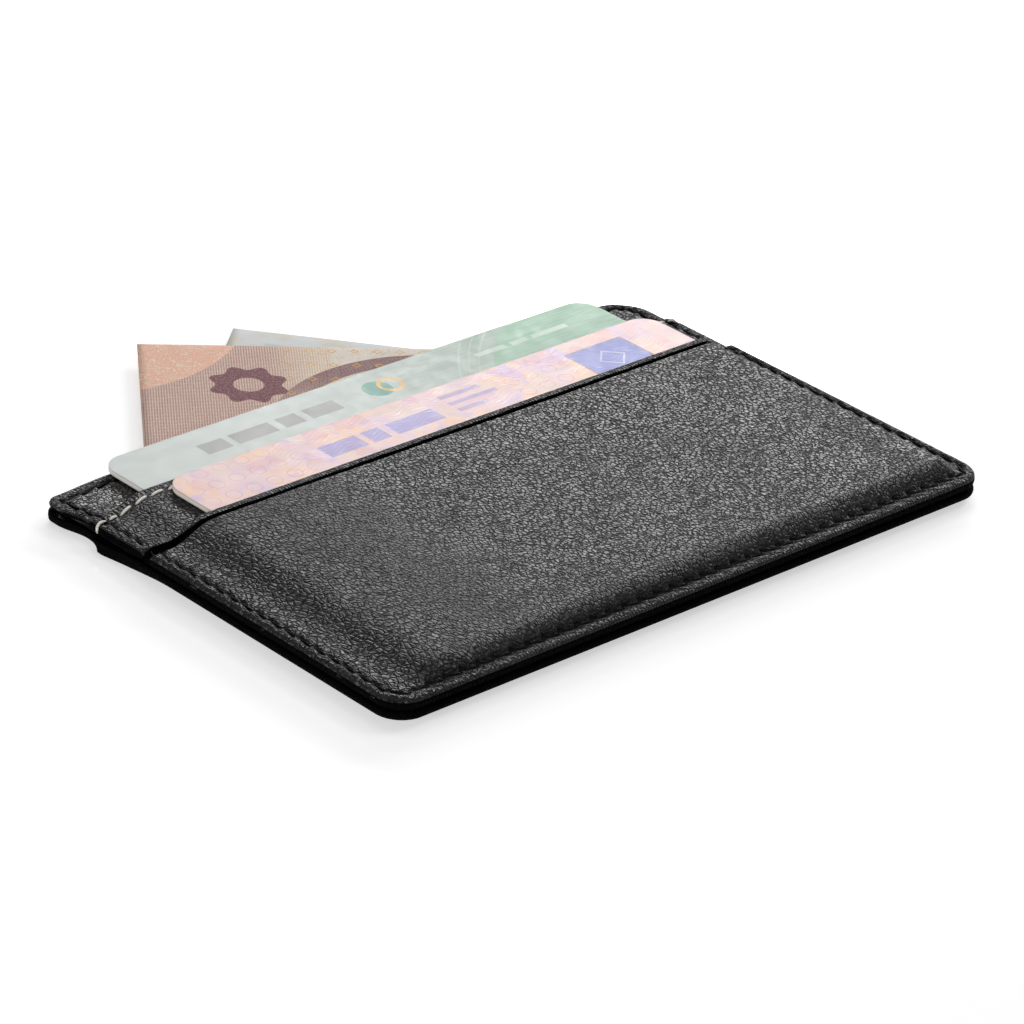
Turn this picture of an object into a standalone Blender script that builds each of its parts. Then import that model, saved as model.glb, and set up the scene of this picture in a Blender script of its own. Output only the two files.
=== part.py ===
"""Slim card holder with two card pockets in front, one behind and an open note compartment.

Two turned-edge leather halves are sewn to each other along three sides and stay open along the
fourth. Each half holds a stiffener board and a shielding foil behind a lining. Two cards and two
folded notes lie in the pockets and can be slid out. Metres, +Z up: X runs along the width, +Y
points out of the open edge, and the origin is at the middle of the face that rests on the table.
"""

import bmesh
import bpy
from math import cos, hypot, pi, radians, sin

# Outline of the sewn holder
corner_radius = 0.0050
corner_steps = 6

# Plies
leather_thickness = 0.00035
turned_thickness = 0.00025
lining_thickness = 0.00010
board_thickness = 0.00014
foil_thickness = 0.00005
ply_gap = 0.00003
turned_width = 0.0055
lining_edge_inset = 0.0015
lining_mouth_inset = 0.0010
board_edge_gap = 0.0004

# Note compartment between the halves
compartment_height = 0.00090
seam_gap = 0.00005
seam_rise_start = 0.0026
seam_opening_length = 0.0045
seam_opening_start = 0.0013

# Rounding of a folded leather edge
fold_round_width = 0.00015
fold_shoulder_width = 0.00032
fold_round_drop = 0.00030
fold_shoulder_drop = 0.00008
fold_under_lift = 0.00006

# Pockets: the lower panel is measured from the closed edge, and each piece behind shows past it
lower_panel_height = 0.0467
lip_crease_width = 0.0007
lip_width = 0.0013
lip_extra_height = 0.00008
lip_shoulder = 0.0003
upper_pocket_showing = 0.0115
cover_showing = 0.0082
upper_floor_seam = 0.0118
hem_stitch_inset = 0.0021
hem_shoulder = 0.0007
hem_bulge = 0.00006
mouth_round = 0.0003
empty_slot_height = 0.00005
lining_set_back = 0.0002

# Sewing
stitch_inset = 0.0019
stitch_shoulder = 0.0007
stitch_dip = 0.00025
thread_diameter = 0.00022
thread_gap = 0.00003
thread_step_length = 0.0006
floor_seam_overrun = 0.0008
hem_thread_fall = 0.0006
hem_thread_tuck = 0.00016

# Cards, with their places measured from the holder's left side and closed edge
card_width = 0.0856
card_height = 0.05398
card_thickness = 0.00076
card_corner_radius = 0.00318
card_gap = 0.00004
licence_card_gap = 0.00010
licence_card_left = 0.0124
licence_card_right_gap = 0.0053
licence_card_bottom = 0.0052
licence_card_travel_in = 0.0005
bank_card_left = 0.0108
bank_card_bottom = 0.0161
bank_card_travel_in = 0.0020
drape_margin = 0.0002
lower_drape_start = 0.0023
side_drape_start = 0.0026
upper_drape_run = 0.0014

# Folded notes: the right corner's place inside the right side, the top left one's past the mouth
note_width = 0.0635
note_height = 0.0335
note_thickness = 0.00038
note_corner_radius = 0.0004
note_gap = 0.00004
front_note_turn = radians(-37.2)
front_note_right_gap = 0.0139
front_note_reach = 0.0285
rear_note_turn = radians(-50.0)
rear_note_right_gap = 0.0092
rear_note_reach = 0.0255

# Places along the plan that the draped leather is folded over
left_drape_shares = (0.30, 0.50, 0.70, 0.85, 1.0)
right_drape_shares = (0.55, 0.80, 1.0)
plateau_shares = (0.20, 0.50, 0.80)
span_shares = (0.33, 0.66)
fall_shares = (0.0, 0.5, 1.0)


# The outline that follows from the card pocket and from what shows past each mouth
holder_width = licence_card_left + card_width + licence_card_right_gap
lower_lip_start = lower_panel_height + lip_crease_width
lower_lip_end = lower_lip_start + lip_width
upper_pocket_height = lower_lip_end + upper_pocket_showing
back_pocket_height = upper_pocket_height
holder_height = upper_pocket_height + cover_showing

# Heights, stacked up from the table
back_pocket_under = 0.0
back_cover_under = back_pocket_under + leather_thickness + empty_slot_height
back_board_under = back_cover_under + leather_thickness + ply_gap
back_foil_under = back_board_under + board_thickness + ply_gap
turned_depth = leather_thickness + turned_thickness
back_lining_under = back_cover_under + turned_depth + ply_gap
compartment_floor = back_lining_under + lining_thickness
seam_rise = compartment_height - seam_gap

front_lining_under = compartment_floor + compartment_height
front_rim_under = front_lining_under + lining_thickness + ply_gap
front_cover_top = front_rim_under + turned_depth
front_foil_under = front_rim_under
front_board_under = front_foil_under + foil_thickness + ply_gap
upper_lining_under = front_cover_top + ply_gap
upper_pocket_under = upper_lining_under + lining_thickness + ply_gap
upper_pocket_top = upper_pocket_under + leather_thickness
lower_lining_under = upper_pocket_top + ply_gap
lower_pocket_under = lower_lining_under + lining_thickness + ply_gap
lower_pocket_top = lower_pocket_under + leather_thickness

bank_card_under = front_cover_top + card_gap
bank_card_lift = card_thickness + card_gap + card_gap - ply_gap
licence_card_under = upper_pocket_top + bank_card_lift + licence_card_gap
licence_card_lift = card_thickness + licence_card_gap + card_gap - ply_gap
rear_note_under = compartment_floor + note_gap
front_note_under = rear_note_under + note_thickness + note_gap

# Where the pockets have risen over their cards' lower edges
licence_drape_end = licence_card_bottom - licence_card_travel_in - drape_margin
pocket_floor_end = bank_card_bottom - bank_card_travel_in - drape_margin
pocket_floor_start = max(pocket_floor_end - upper_drape_run, upper_floor_seam + ply_gap)

# Each leather skin turns over the edge of the one inside it
lower_skin_inset = 0.0
upper_skin_inset = lower_skin_inset + fold_shoulder_width + ply_gap
front_cover_inset = upper_skin_inset + fold_shoulder_width + ply_gap
back_cover_inset = lower_skin_inset + fold_shoulder_width + ply_gap
front_wrap_under = front_rim_under - ply_gap - ply_gap
back_wrap_top = back_lining_under + seam_rise

thread_radius = thread_diameter / 2
left_side = -holder_width / 2
right_side = holder_width / 2
closed_edge = -holder_height / 2
open_edge = holder_height / 2


def start_clean():
    for old in list(bpy.data.objects):
        bpy.data.objects.remove(old, do_unlink=True)


def finish(name, colour, roughness, metallic=0.0):
    """A material with the colour, roughness and metal share of one finish."""
    material = bpy.data.materials.new(name)
    material.use_nodes = True
    shader = material.node_tree.nodes["Principled BSDF"]
    shader.inputs["Base Color"].default_value = (*colour, 1.0)
    shader.inputs["Roughness"].default_value = roughness
    shader.inputs["Metallic"].default_value = metallic
    return material


def add_object(name, bm, material, smooth_angle=radians(40)):
    """Turns a finished bmesh into one named sub-part."""
    bmesh.ops.recalc_face_normals(bm, faces=bm.faces[:])
    mesh = bpy.data.meshes.new(name)
    bm.to_mesh(mesh)
    bm.free()
    mesh.materials.append(material)
    mesh.shade_smooth()
    mesh.set_sharp_from_angle(angle=smooth_angle)
    piece = bpy.data.objects.new(name, mesh)
    bpy.context.scene.collection.objects.link(piece)
    return piece


def ease(share):
    """A smooth step from 0 to 1, flat at both ends."""
    share = min(max(share, 0.0), 1.0)
    return share * share * (3 - 2 * share)


def between(low, high, shares):
    return [low + (high - low) * share for share in shares]


def sewn_inset(x, y):
    """How far a point lies inside the outline's two sides and closed edge."""
    across = min(x - left_side, right_side - x)
    along = y - closed_edge
    if across < corner_radius and along < corner_radius:
        return corner_radius - hypot(corner_radius - across, corner_radius - along)
    return min(across, along)


def open_inset(x, y, skin_inset):
    """The same for a cover, which also has rounded corners at the open edge."""
    radius = corner_radius - skin_inset
    across = min(x - left_side, right_side - x)
    below = open_edge - y
    if across < corner_radius and below < radius:
        return corner_radius - hypot(corner_radius - across, radius - below)
    return min(sewn_inset(x, y), below + skin_inset)


# Plans: the flat net of a leather piece before it gets its heights

def ring_points(inset, skin_inset, columns, rows, goes_round):
    """The outline drawn at one inset, from the top of the left side round the closed edge."""
    radius = corner_radius - inset
    arc = [pi / 2 * step / corner_steps for step in range(corner_steps + 1)]
    low = closed_edge + corner_radius
    west = left_side + corner_radius
    east = right_side - corner_radius
    points = [(left_side + inset, y) for y in reversed(rows[1:])]
    points += [(west - radius * cos(turn), low - radius * sin(turn)) for turn in arc]
    points += [(x, closed_edge + inset) for x in columns[1:-1]]
    points += [(east + radius * sin(turn), low - radius * cos(turn)) for turn in arc]
    points += [(right_side - inset, y) for y in rows[1:]]
    if goes_round:
        high = open_edge - corner_radius + skin_inset
        points += [(east + radius * cos(turn), high + radius * sin(turn)) for turn in arc[1:]]
        points += [(x, high + radius) for x in reversed(columns[1:-1])]
        points += [(west - radius * sin(turn), high + radius * cos(turn)) for turn in arc[:-1]]
    return points


def plan(insets, columns, rows, skin_inset, goes_round):
    """Rings along the sewn edges and a plain grid inside them, joined into one flat net."""
    bm = bmesh.new()
    rings = []
    for inset in [*insets, corner_radius]:
        places = ring_points(inset, skin_inset, columns, rows, goes_round)
        rings.append([bm.verts.new((x, y, 0.0)) for x, y in places])
    count = len(rings[0])
    for outer, inner in zip(rings, rings[1:]):
        for here in range(count if goes_round else count - 1):
            after = (here + 1) % count
            bm.faces.new((outer[here], outer[after], inner[after], inner[here]))
    grid = [[bm.verts.new((x, y, 0.0)) for x in columns] for y in rows]
    for lower, upper in zip(grid, grid[1:]):
        for here in range(len(columns) - 1):
            bm.faces.new((lower[here], lower[here + 1], upper[here + 1], upper[here]))
    bmesh.ops.remove_doubles(bm, verts=bm.verts[:], dist=merge_distance)
    return bm


def strip_plan(columns, rows):
    """A plain net across the holder, for a piece without rounded corners."""
    bm = bmesh.new()
    grid = [[bm.verts.new((x, y, 0.0)) for x in columns] for y in rows]
    for lower, upper in zip(grid, grid[1:]):
        for here in range(len(columns) - 1):
            bm.faces.new((lower[here], lower[here + 1], upper[here + 1], upper[here]))
    return bm


def skin(name, bm, under, over, material):
    """Doubles a net and lifts one copy to the under side and one to the top side."""
    lower = bm.verts[:]
    doubled = bmesh.ops.extrude_face_region(bm, geom=bm.faces[:])["geom"]
    upper = [item for item in doubled if isinstance(item, bmesh.types.BMVert)]
    for vert in upper:
        vert.co.z = over(vert.co.x, vert.co.y)
    for vert in lower:
        vert.co.z = under(vert.co.x, vert.co.y)
    return add_object(name, bm, material)


# Heights of the draped leather

def card_cover(x, y, left, side_start, bottom_start, bottom_end):
    """How fully a pocket is lifted by its card: 0 on the sewn border, 1 all over the card."""
    west = left - drape_margin
    east = holder_width - left - card_width - drape_margin
    rise = ease((x - left_side - side_start) / (west - side_start))
    rise *= ease((right_side - x - side_start) / (east - side_start))
    return rise * ease((y - closed_edge - bottom_start) / (bottom_end - bottom_start))


def bank_lift(x, y):
    return bank_card_lift * card_cover(
        x, y, bank_card_left, side_drape_start, pocket_floor_start, pocket_floor_end)


def licence_lift(x, y):
    both = bank_card_lift + licence_card_lift
    return both * card_cover(
        x, y, licence_card_left, side_drape_start, lower_drape_start, licence_drape_end)


def seam_lift(x, y):
    """How far the back half is drawn up to the front half along the three sewn sides."""
    across = (sewn_inset(x, y) - seam_rise_start) / (corner_radius - seam_rise_start)
    from_mouth = (open_edge - seam_opening_start - y) / seam_opening_length
    return seam_rise * (1 - ease(across)) * ease(from_mouth)


def edge_drop(inset):
    """How far a folded edge has rounded off, at an inset from its own outline."""
    if inset < fold_round_width / 2:
        return fold_round_drop
    if inset < (fold_round_width + fold_shoulder_width) / 2:
        return fold_shoulder_drop
    return 0.0


def edge_lift(inset):
    return fold_under_lift if inset < fold_round_width / 2 else 0.0


def dip(distance, half_width, depth):
    """The hollow that a row of stitches pulls into the leather."""
    return depth * max(0.0, 1 - abs(distance) / half_width)


def mouth_drop(y, mouth):
    """The rounding along a pocket's mouth."""
    return fold_shoulder_drop if closed_edge + mouth - y < mouth_round / 2 else 0.0


def lower_over(x, y):
    inset = sewn_inset(x, y)
    pull = dip(inset - stitch_inset, stitch_shoulder, stitch_dip)
    return lower_pocket_top + licence_lift(x, y) - pull - edge_drop(inset)


def lower_under(x, y):
    inset = sewn_inset(x, y)
    if inset < fold_shoulder_width + ply_gap / 2:
        return front_wrap_under + edge_lift(inset)
    return lower_pocket_under + licence_lift(x, y)


def panel_over(x, y):
    return lower_over(x, y) - mouth_drop(y, lower_panel_height)


def lip_over(x, y):
    nearest = min(closed_edge + lower_lip_end - y, y - closed_edge - lower_lip_start)
    rounding = fold_shoulder_drop if nearest < lip_shoulder / 2 else 0.0
    return lower_over(x, y) + lip_extra_height - rounding


def upper_over(x, y):
    own = sewn_inset(x, y) - upper_skin_inset
    along = y - closed_edge
    pull = dip(own + upper_skin_inset - stitch_inset, stitch_shoulder, stitch_dip)
    hem_line = upper_pocket_height - hem_stitch_inset
    seam_pull = dip(along - hem_line, hem_shoulder, stitch_dip)
    floor_pull = dip(along - upper_floor_seam, hem_shoulder, stitch_dip)
    bulge = hem_bulge if along > hem_line + hem_shoulder / 2 else 0.0
    pull = max(pull, seam_pull, floor_pull)
    rounding = edge_drop(own) + mouth_drop(y, upper_pocket_height)
    return upper_pocket_top + bank_lift(x, y) + bulge - pull - rounding


def upper_under(x, y):
    own = sewn_inset(x, y) - upper_skin_inset
    if own < fold_shoulder_width + ply_gap / 2:
        return front_wrap_under + edge_lift(own)
    return upper_pocket_under + bank_lift(x, y)


def front_cover_over(x, y):
    own = open_inset(x, y, front_cover_inset) - front_cover_inset
    row = stitch_inset - front_cover_inset
    return front_cover_top - dip(own - row, stitch_shoulder, stitch_dip) - edge_drop(own)


def front_cover_inside(x, y):
    inset = open_inset(x, y, front_cover_inset)
    if inset > turned_width:
        return front_cover_top - leather_thickness
    return front_rim_under + edge_lift(inset - front_cover_inset)


def back_cover_outside(x, y):
    own = open_inset(x, y, back_cover_inset) - back_cover_inset
    row = stitch_inset - back_cover_inset
    pull = dip(own - row, stitch_shoulder, stitch_dip)
    return back_cover_under + seam_lift(x, y) + pull + edge_drop(own)


def back_cover_inside(x, y):
    inset = open_inset(x, y, back_cover_inset)
    thick = leather_thickness if inset > turned_width else turned_depth
    return back_cover_under + seam_lift(x, y) + thick - edge_lift(inset - back_cover_inset)


def back_pocket_outside(x, y):
    inset = sewn_inset(x, y)
    along = y - closed_edge
    pull = dip(inset - stitch_inset, stitch_shoulder, stitch_dip)
    hem_line = back_pocket_height - hem_stitch_inset
    pull = max(pull, dip(along - hem_line, hem_shoulder, stitch_dip))
    rounding = edge_drop(inset) + mouth_drop(y, back_pocket_height)
    return back_pocket_under + seam_lift(x, y) + pull + rounding


def back_pocket_inside(x, y):
    inset = sewn_inset(x, y)
    if inset < fold_shoulder_width + ply_gap / 2:
        return back_wrap_top - edge_lift(inset)
    return back_pocket_under + leather_thickness + seam_lift(x, y)


def lifted(height, lift):
    """A height that follows a drape."""
    return lambda x, y: height + lift(x, y)


# Lines of the plans

merge_distance = ply_gap / 10


def drape_columns(left, right_gap):
    """Lines across a pocket: close together where its side falls off the card."""
    west = between(corner_radius, left - drape_margin, left_drape_shares)
    east = between(corner_radius, right_gap - drape_margin, right_drape_shares)
    west = [corner_radius, *[inset for inset in west if inset > corner_radius]]
    east = [corner_radius, *[inset for inset in east if inset > corner_radius]]
    middle = between(left_side + west[-1], right_side - east[-1], plateau_shares)
    columns = [left_side + inset for inset in west] + middle
    return columns + [right_side - inset for inset in reversed(east)]


pocket_columns = drape_columns(licence_card_left, licence_card_right_gap)
bank_columns = drape_columns(bank_card_left, holder_width - bank_card_left - card_width)
columns = sorted({round(x, 9) for x in pocket_columns + bank_columns})
side_falls = between(side_drape_start, licence_drape_end, fall_shares)
stitch_lines = [stitch_inset - stitch_shoulder, stitch_inset]


def rows_up_to(mouth, *between_lines):
    """Lines along a pocket, from the inner end of its rounded corners up to its mouth."""
    lines = [corner_radius, *between_lines, mouth]
    return [closed_edge + line for line in sorted(lines)]


def fold_lines(skin_inset):
    """The insets that draw one folded edge and the inner face of its turned part."""
    return [
        skin_inset,
        skin_inset + fold_round_width,
        skin_inset + fold_shoulder_width,
        skin_inset + fold_shoulder_width + ply_gap,
    ]


# Leather pieces

floor_lines = [
    upper_floor_seam - hem_shoulder,
    upper_floor_seam,
    upper_floor_seam + hem_shoulder,
    pocket_floor_start,
    (pocket_floor_start + pocket_floor_end) / 2,
    pocket_floor_end,
]
lower_lines = between(pocket_floor_end, lower_panel_height, span_shares)


def make_lower_pocket(leather):
    insets = [*fold_lines(lower_skin_inset), *stitch_lines, *side_falls]
    rows = rows_up_to(lower_panel_height, *floor_lines, *lower_lines,
                      lower_panel_height - mouth_round)
    net = plan(insets, columns, rows, lower_skin_inset, goes_round=False)
    return skin("lower_pocket_panel", net, lower_under, panel_over, leather)


def make_lower_lip(leather):
    insets = [*fold_lines(lower_skin_inset), *stitch_lines, *side_falls]
    left_lines = [left_side + inset for inset in insets]
    right_lines = [right_side - inset for inset in reversed(insets)]
    lines = [
        lower_lip_start,
        lower_lip_start + lip_shoulder,
        lower_lip_end - lip_shoulder,
        lower_lip_end,
    ]
    net = strip_plan([*left_lines, *columns, *right_lines], [closed_edge + line for line in lines])
    return skin("lower_pocket_lip", net, lower_under, lip_over, leather)


def make_pocket_lining(name, mouth, under, lift, lines, fabric):
    """The thin cloth behind a pocket's leather, which the card slides on."""
    insets = [lining_edge_inset, stitch_inset, *side_falls]
    rows = rows_up_to(mouth - lining_set_back, *lines)
    net = plan(insets, columns, rows, lining_edge_inset, goes_round=False)
    return skin(name, net, lifted(under, lift), lifted(under + lining_thickness, lift), fabric)


def make_upper_pocket(leather):
    insets = [*fold_lines(upper_skin_inset), *stitch_lines, *side_falls]
    hem_line = upper_pocket_height - hem_stitch_inset
    rows = rows_up_to(
        upper_pocket_height, *floor_lines, *lower_lines, lower_panel_height,
        hem_line - hem_shoulder, hem_line, hem_line + hem_shoulder,
        upper_pocket_height - mouth_round)
    net = plan(insets, columns, rows, upper_skin_inset, goes_round=False)
    return skin("upper_pocket_panel", net, upper_under, upper_over, leather)


def cover_insets(skin_inset):
    edge = fold_lines(skin_inset)[:3]
    after = stitch_inset + stitch_shoulder
    turned = between(seam_rise_start, corner_radius, span_shares)
    return [*edge, *[line for line in stitch_lines if line > edge[-1]], after, *turned]


def cover_frame(skin_inset):
    """Lines of a cover inside its rounded corners: the end of its turned-in edge."""
    step = turned_width - corner_radius + ply_gap
    west = left_side + corner_radius
    east = right_side - corner_radius
    low = closed_edge + corner_radius
    high = open_edge - corner_radius + skin_inset
    run = turned_width - corner_radius
    across = [west, west + run, west + step, 0.0, east - step, east - run, east]
    mouth = open_edge - seam_opening_start - seam_opening_length
    along = [low, low + run, low + step, 0.0, mouth, high - step, high - run, high]
    return across, sorted(along)


def make_front_cover(leather):
    across, along = cover_frame(front_cover_inset)
    net = plan(cover_insets(front_cover_inset), across, along, front_cover_inset, goes_round=True)
    return skin("front_cover", net, front_cover_inside, front_cover_over, leather)


def make_back_cover(leather):
    across, along = cover_frame(back_cover_inset)
    net = plan(cover_insets(back_cover_inset), across, along, back_cover_inset, goes_round=True)
    return skin("back_cover", net, back_cover_outside, back_cover_inside, leather)


def make_back_pocket(leather):
    turned = between(seam_rise_start, corner_radius, span_shares)
    after = stitch_inset + stitch_shoulder
    insets = [*fold_lines(lower_skin_inset), *stitch_lines, after, *turned]
    hem_line = back_pocket_height - hem_stitch_inset
    across, _ = cover_frame(back_cover_inset)
    rows = rows_up_to(
        back_pocket_height, holder_height / 2, hem_line - hem_shoulder, hem_line,
        hem_line + hem_shoulder, back_pocket_height - mouth_round)
    net = plan(insets, across, rows, lower_skin_inset, goes_round=False)
    return skin("back_pocket_panel", net, back_pocket_outside, back_pocket_inside, leather)


# Linings, boards and foils

def lining_net():
    turned = between(seam_rise_start, corner_radius, span_shares)
    insets = [lining_edge_inset, stitch_inset, seam_rise_start, *turned]
    skin_inset = lining_edge_inset - lining_mouth_inset
    across, along = cover_frame(skin_inset)
    return plan(insets, across, along, skin_inset, goes_round=True)


def make_back_lining(fabric):
    top = back_lining_under + lining_thickness
    return skin("back_lining", lining_net(), lifted(back_lining_under, seam_lift),
                lifted(top, seam_lift), fabric)


def rounded_rectangle(bm, left, right, bottom, top, radius, height):
    """One flat face with four rounded corners."""
    points = []
    corners = ((right, top, 0), (left, top, 1), (left, bottom, 2), (right, bottom, 3))
    for x, y, quarter in corners:
        centre_x = x - radius if quarter in (0, 3) else x + radius
        centre_y = y - radius if quarter in (0, 1) else y + radius
        for step in range(corner_steps + 1):
            turn = pi / 2 * (quarter + step / corner_steps)
            points.append((centre_x + radius * cos(turn), centre_y + radius * sin(turn), height))
    return bm.faces.new([bm.verts.new(point) for point in points])


def flat_ply(name, box, radius, under, thickness, material):
    """A flat sheet with rounded corners, raised from its outline."""
    bm = bmesh.new()
    face = rounded_rectangle(bm, *box, radius, under)
    raised = bmesh.ops.extrude_face_region(bm, geom=[face])["geom"]
    top = [item for item in raised if isinstance(item, bmesh.types.BMVert)]
    bmesh.ops.translate(bm, verts=top, vec=(0.0, 0.0, thickness))
    return add_object(name, bm, material)


def half_box(inset, mouth_inset):
    return (left_side + inset, right_side - inset, closed_edge + inset, open_edge - mouth_inset)


def make_plies(fabric, board, foil):
    inside = turned_width + board_edge_gap
    ply_box = half_box(inside, inside - front_cover_inset)
    back_box = half_box(inside, inside - back_cover_inset)
    radius = corner_radius - lining_edge_inset
    lining_box = half_box(lining_edge_inset, lining_mouth_inset)
    flat_ply("front_lining", lining_box, radius, front_lining_under, lining_thickness, fabric)
    flat_ply("front_shield_foil", ply_box, board_edge_gap, front_foil_under, foil_thickness, foil)
    flat_ply("front_stiffener_board", ply_box, board_edge_gap, front_board_under,
             board_thickness, board)
    flat_ply("back_stiffener_board", back_box, board_edge_gap, back_board_under,
             board_thickness, board)
    flat_ply("back_shield_foil", back_box, board_edge_gap, back_foil_under, foil_thickness, foil)


# Threads

def thread(name, points, material, closed):
    """One run of sewing thread along its points."""
    curve = bpy.data.curves.new(name, "CURVE")
    curve.dimensions = "3D"
    curve.bevel_depth = thread_radius
    curve.bevel_resolution = 1
    curve.use_fill_caps = not closed
    spline = curve.splines.new("POLY")
    spline.points.add(len(points) - 1)
    for place, point in zip(spline.points, points):
        place.co = (*point, 1.0)
    spline.use_cyclic_u = closed
    curve.materials.append(material)
    piece = bpy.data.objects.new(name, curve)
    bpy.context.scene.collection.objects.link(piece)
    return piece


def row_path(stations, skin_inset):
    """Points of the sewing row all round a half, at the stitch inset from its outline."""
    middle = [left_side + corner_radius, 0.0, right_side - corner_radius]
    mouth_end = open_edge - corner_radius + skin_inset
    rows = sorted([closed_edge + corner_radius, *stations, mouth_end])
    return ring_points(stitch_inset, skin_inset, middle, rows, goes_round=True)


def stepped(y, steps, foot):
    """Which of the stacked heights holds at y, with a short slope after each pocket's mouth."""
    height = foot
    for mouth, below in steps:
        share = (closed_edge + mouth + thread_step_length - y) / thread_step_length
        height += below * min(max(share, 0.0), 1.0)
    return height


def front_row_height(x, y):
    pile = leather_thickness + lining_thickness + ply_gap + ply_gap
    steps = ((lower_lip_end, pile + lip_extra_height), (upper_pocket_height, pile + hem_bulge))
    top = stepped(y, steps, front_cover_top)
    return top - stitch_dip + thread_radius + thread_gap


def back_row_height(x, y):
    pile = leather_thickness + empty_slot_height
    bottom = stepped(y, ((back_pocket_height, -pile),), back_cover_under)
    return bottom + seam_lift(x, y) + stitch_dip - thread_radius - thread_gap


def make_edge_threads(black):
    mouths = [lower_lip_end, upper_pocket_height]
    front_rows = [closed_edge + line for mouth in mouths
                  for line in (mouth, mouth + thread_step_length)]
    places = row_path(front_rows, front_cover_inset)
    path = [(x, y, front_row_height(x, y)) for x, y in places]
    thread("front_edge_thread", path, black, closed=True)
    back_rows = [
        closed_edge + back_pocket_height,
        closed_edge + back_pocket_height + thread_step_length,
        open_edge - seam_opening_start - seam_opening_length,
    ]
    places = row_path(back_rows, back_cover_inset)
    path = [(x, y, back_row_height(x, y)) for x, y in places]
    thread("back_edge_thread", path, black, closed=True)


def hem_end(side, top, y):
    """The last stitch of the hem row, which goes over the side of the pocket."""
    reach = thread_radius + thread_gap
    edge = side * (right_side - upper_skin_inset)
    return [
        (edge + side * hem_thread_tuck, y, top - hem_thread_fall),
        (edge + side * hem_thread_tuck, y, top - fold_round_drop),
        (edge - side * fold_round_width, y, top + reach - fold_shoulder_drop / 2),
    ]


def make_hem_threads(cream, black):
    y = closed_edge + upper_pocket_height - hem_stitch_inset
    reach = thread_radius + thread_gap
    stops = [stitch_inset + stitch_shoulder, *side_falls]
    places = [left_side + inset for inset in stops] + columns
    places += [right_side - inset for inset in reversed(stops)]
    row = [(x, y, upper_pocket_top + bank_lift(x, y) - stitch_dip + reach)
           for x in sorted(places)]
    left_end = hem_end(-1, upper_pocket_top, y)
    right_end = hem_end(1, upper_pocket_top, y)
    thread("upper_pocket_hem_thread", [*left_end, *row, *reversed(right_end)], cream, closed=False)
    y = closed_edge + back_pocket_height - hem_stitch_inset
    low = back_pocket_under + stitch_dip - reach
    ends = right_side - corner_radius
    thread("back_pocket_hem_thread", [(-ends, y, low), (ends, y, low)], cream, closed=False)
    y = closed_edge + upper_floor_seam
    seat = upper_pocket_top - stitch_dip + reach
    row = [
        (left_side + bank_card_left - floor_seam_overrun, y, seat),
        (left_side + bank_card_left + card_width - floor_seam_overrun, y, seat),
    ]
    thread("upper_pocket_floor_thread", row, black, closed=False)


# Cards and notes

def make_card(name, left, bottom, under, plastic):
    box = (
        left_side + left,
        left_side + left + card_width,
        closed_edge + bottom,
        closed_edge + bottom + card_height,
    )
    return flat_ply(name, box, card_corner_radius, under, card_thickness, plastic)


def make_note(name, right_gap, reach, turn, under, paper):
    """A note folded in four, lying turned in the compartment."""
    box = (0.0, note_width, -note_height, 0.0)
    piece = flat_ply(name, box, note_corner_radius, 0.0, note_thickness, paper)
    left = right_side - right_gap - note_width * cos(turn)
    piece.location = (left, open_edge + reach, under)
    piece.rotation_euler = (0.0, 0.0, turn)
    return piece


def main():
    start_clean()
    black_leather = finish("black_leather", (0.022, 0.021, 0.022), 0.48)
    grey_lining = finish("grey_lining", (0.09, 0.09, 0.095), 0.85)
    grey_board = finish("grey_board", (0.42, 0.40, 0.37), 0.9)
    bright_foil = finish("bright_foil", (0.80, 0.80, 0.82), 0.28, 1.0)
    black_thread = finish("black_thread", (0.012, 0.012, 0.012), 0.7)
    cream_thread = finish("cream_thread", (0.72, 0.68, 0.58), 0.7)
    pink_card = finish("pink_card", (0.86, 0.66, 0.70), 0.35)
    green_card = finish("green_card", (0.60, 0.70, 0.66), 0.35)
    salmon_paper = finish("salmon_paper", (0.80, 0.56, 0.48), 0.8)
    blue_paper = finish("blue_paper", (0.66, 0.72, 0.74), 0.8)

    make_back_pocket(black_leather)
    make_back_cover(black_leather)
    make_back_lining(grey_lining)
    make_plies(grey_lining, grey_board, bright_foil)
    make_front_cover(black_leather)
    make_pocket_lining("upper_pocket_lining", upper_pocket_height, upper_lining_under, bank_lift,
                       [*floor_lines, *lower_lines, lower_panel_height], grey_lining)
    make_upper_pocket(black_leather)
    make_pocket_lining("lower_pocket_lining", lower_lip_end, lower_lining_under, licence_lift,
                       [*floor_lines, *lower_lines, lower_panel_height], grey_lining)
    make_lower_pocket(black_leather)
    make_lower_lip(black_leather)
    make_edge_threads(black_thread)
    make_hem_threads(cream_thread, black_thread)
    make_card("licence_card", licence_card_left, licence_card_bottom, licence_card_under,
              pink_card)
    make_card("bank_card", bank_card_left, bank_card_bottom, bank_card_under, green_card)
    make_note("front_note", front_note_right_gap, front_note_reach, front_note_turn,
              front_note_under, salmon_paper)
    make_note("rear_note", rear_note_right_gap, rear_note_reach, rear_note_turn,
              rear_note_under, blue_paper)


main()
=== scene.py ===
# %% [markdown]
# # A slim leather card holder
#
# The real object is two flat leather halves, sewn to each other along three sides. Cards go in
# pockets on the front, notes between the halves. It could be modelled as one soft block, but its
# look comes from thin layers that lie over each other, so every layer is its own piece here.

# %% Load the frame
from math import ceil, cos, exp, pi, radians, sin

import bmesh
import bpy
from mathutils import Matrix, Vector, noise


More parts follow.
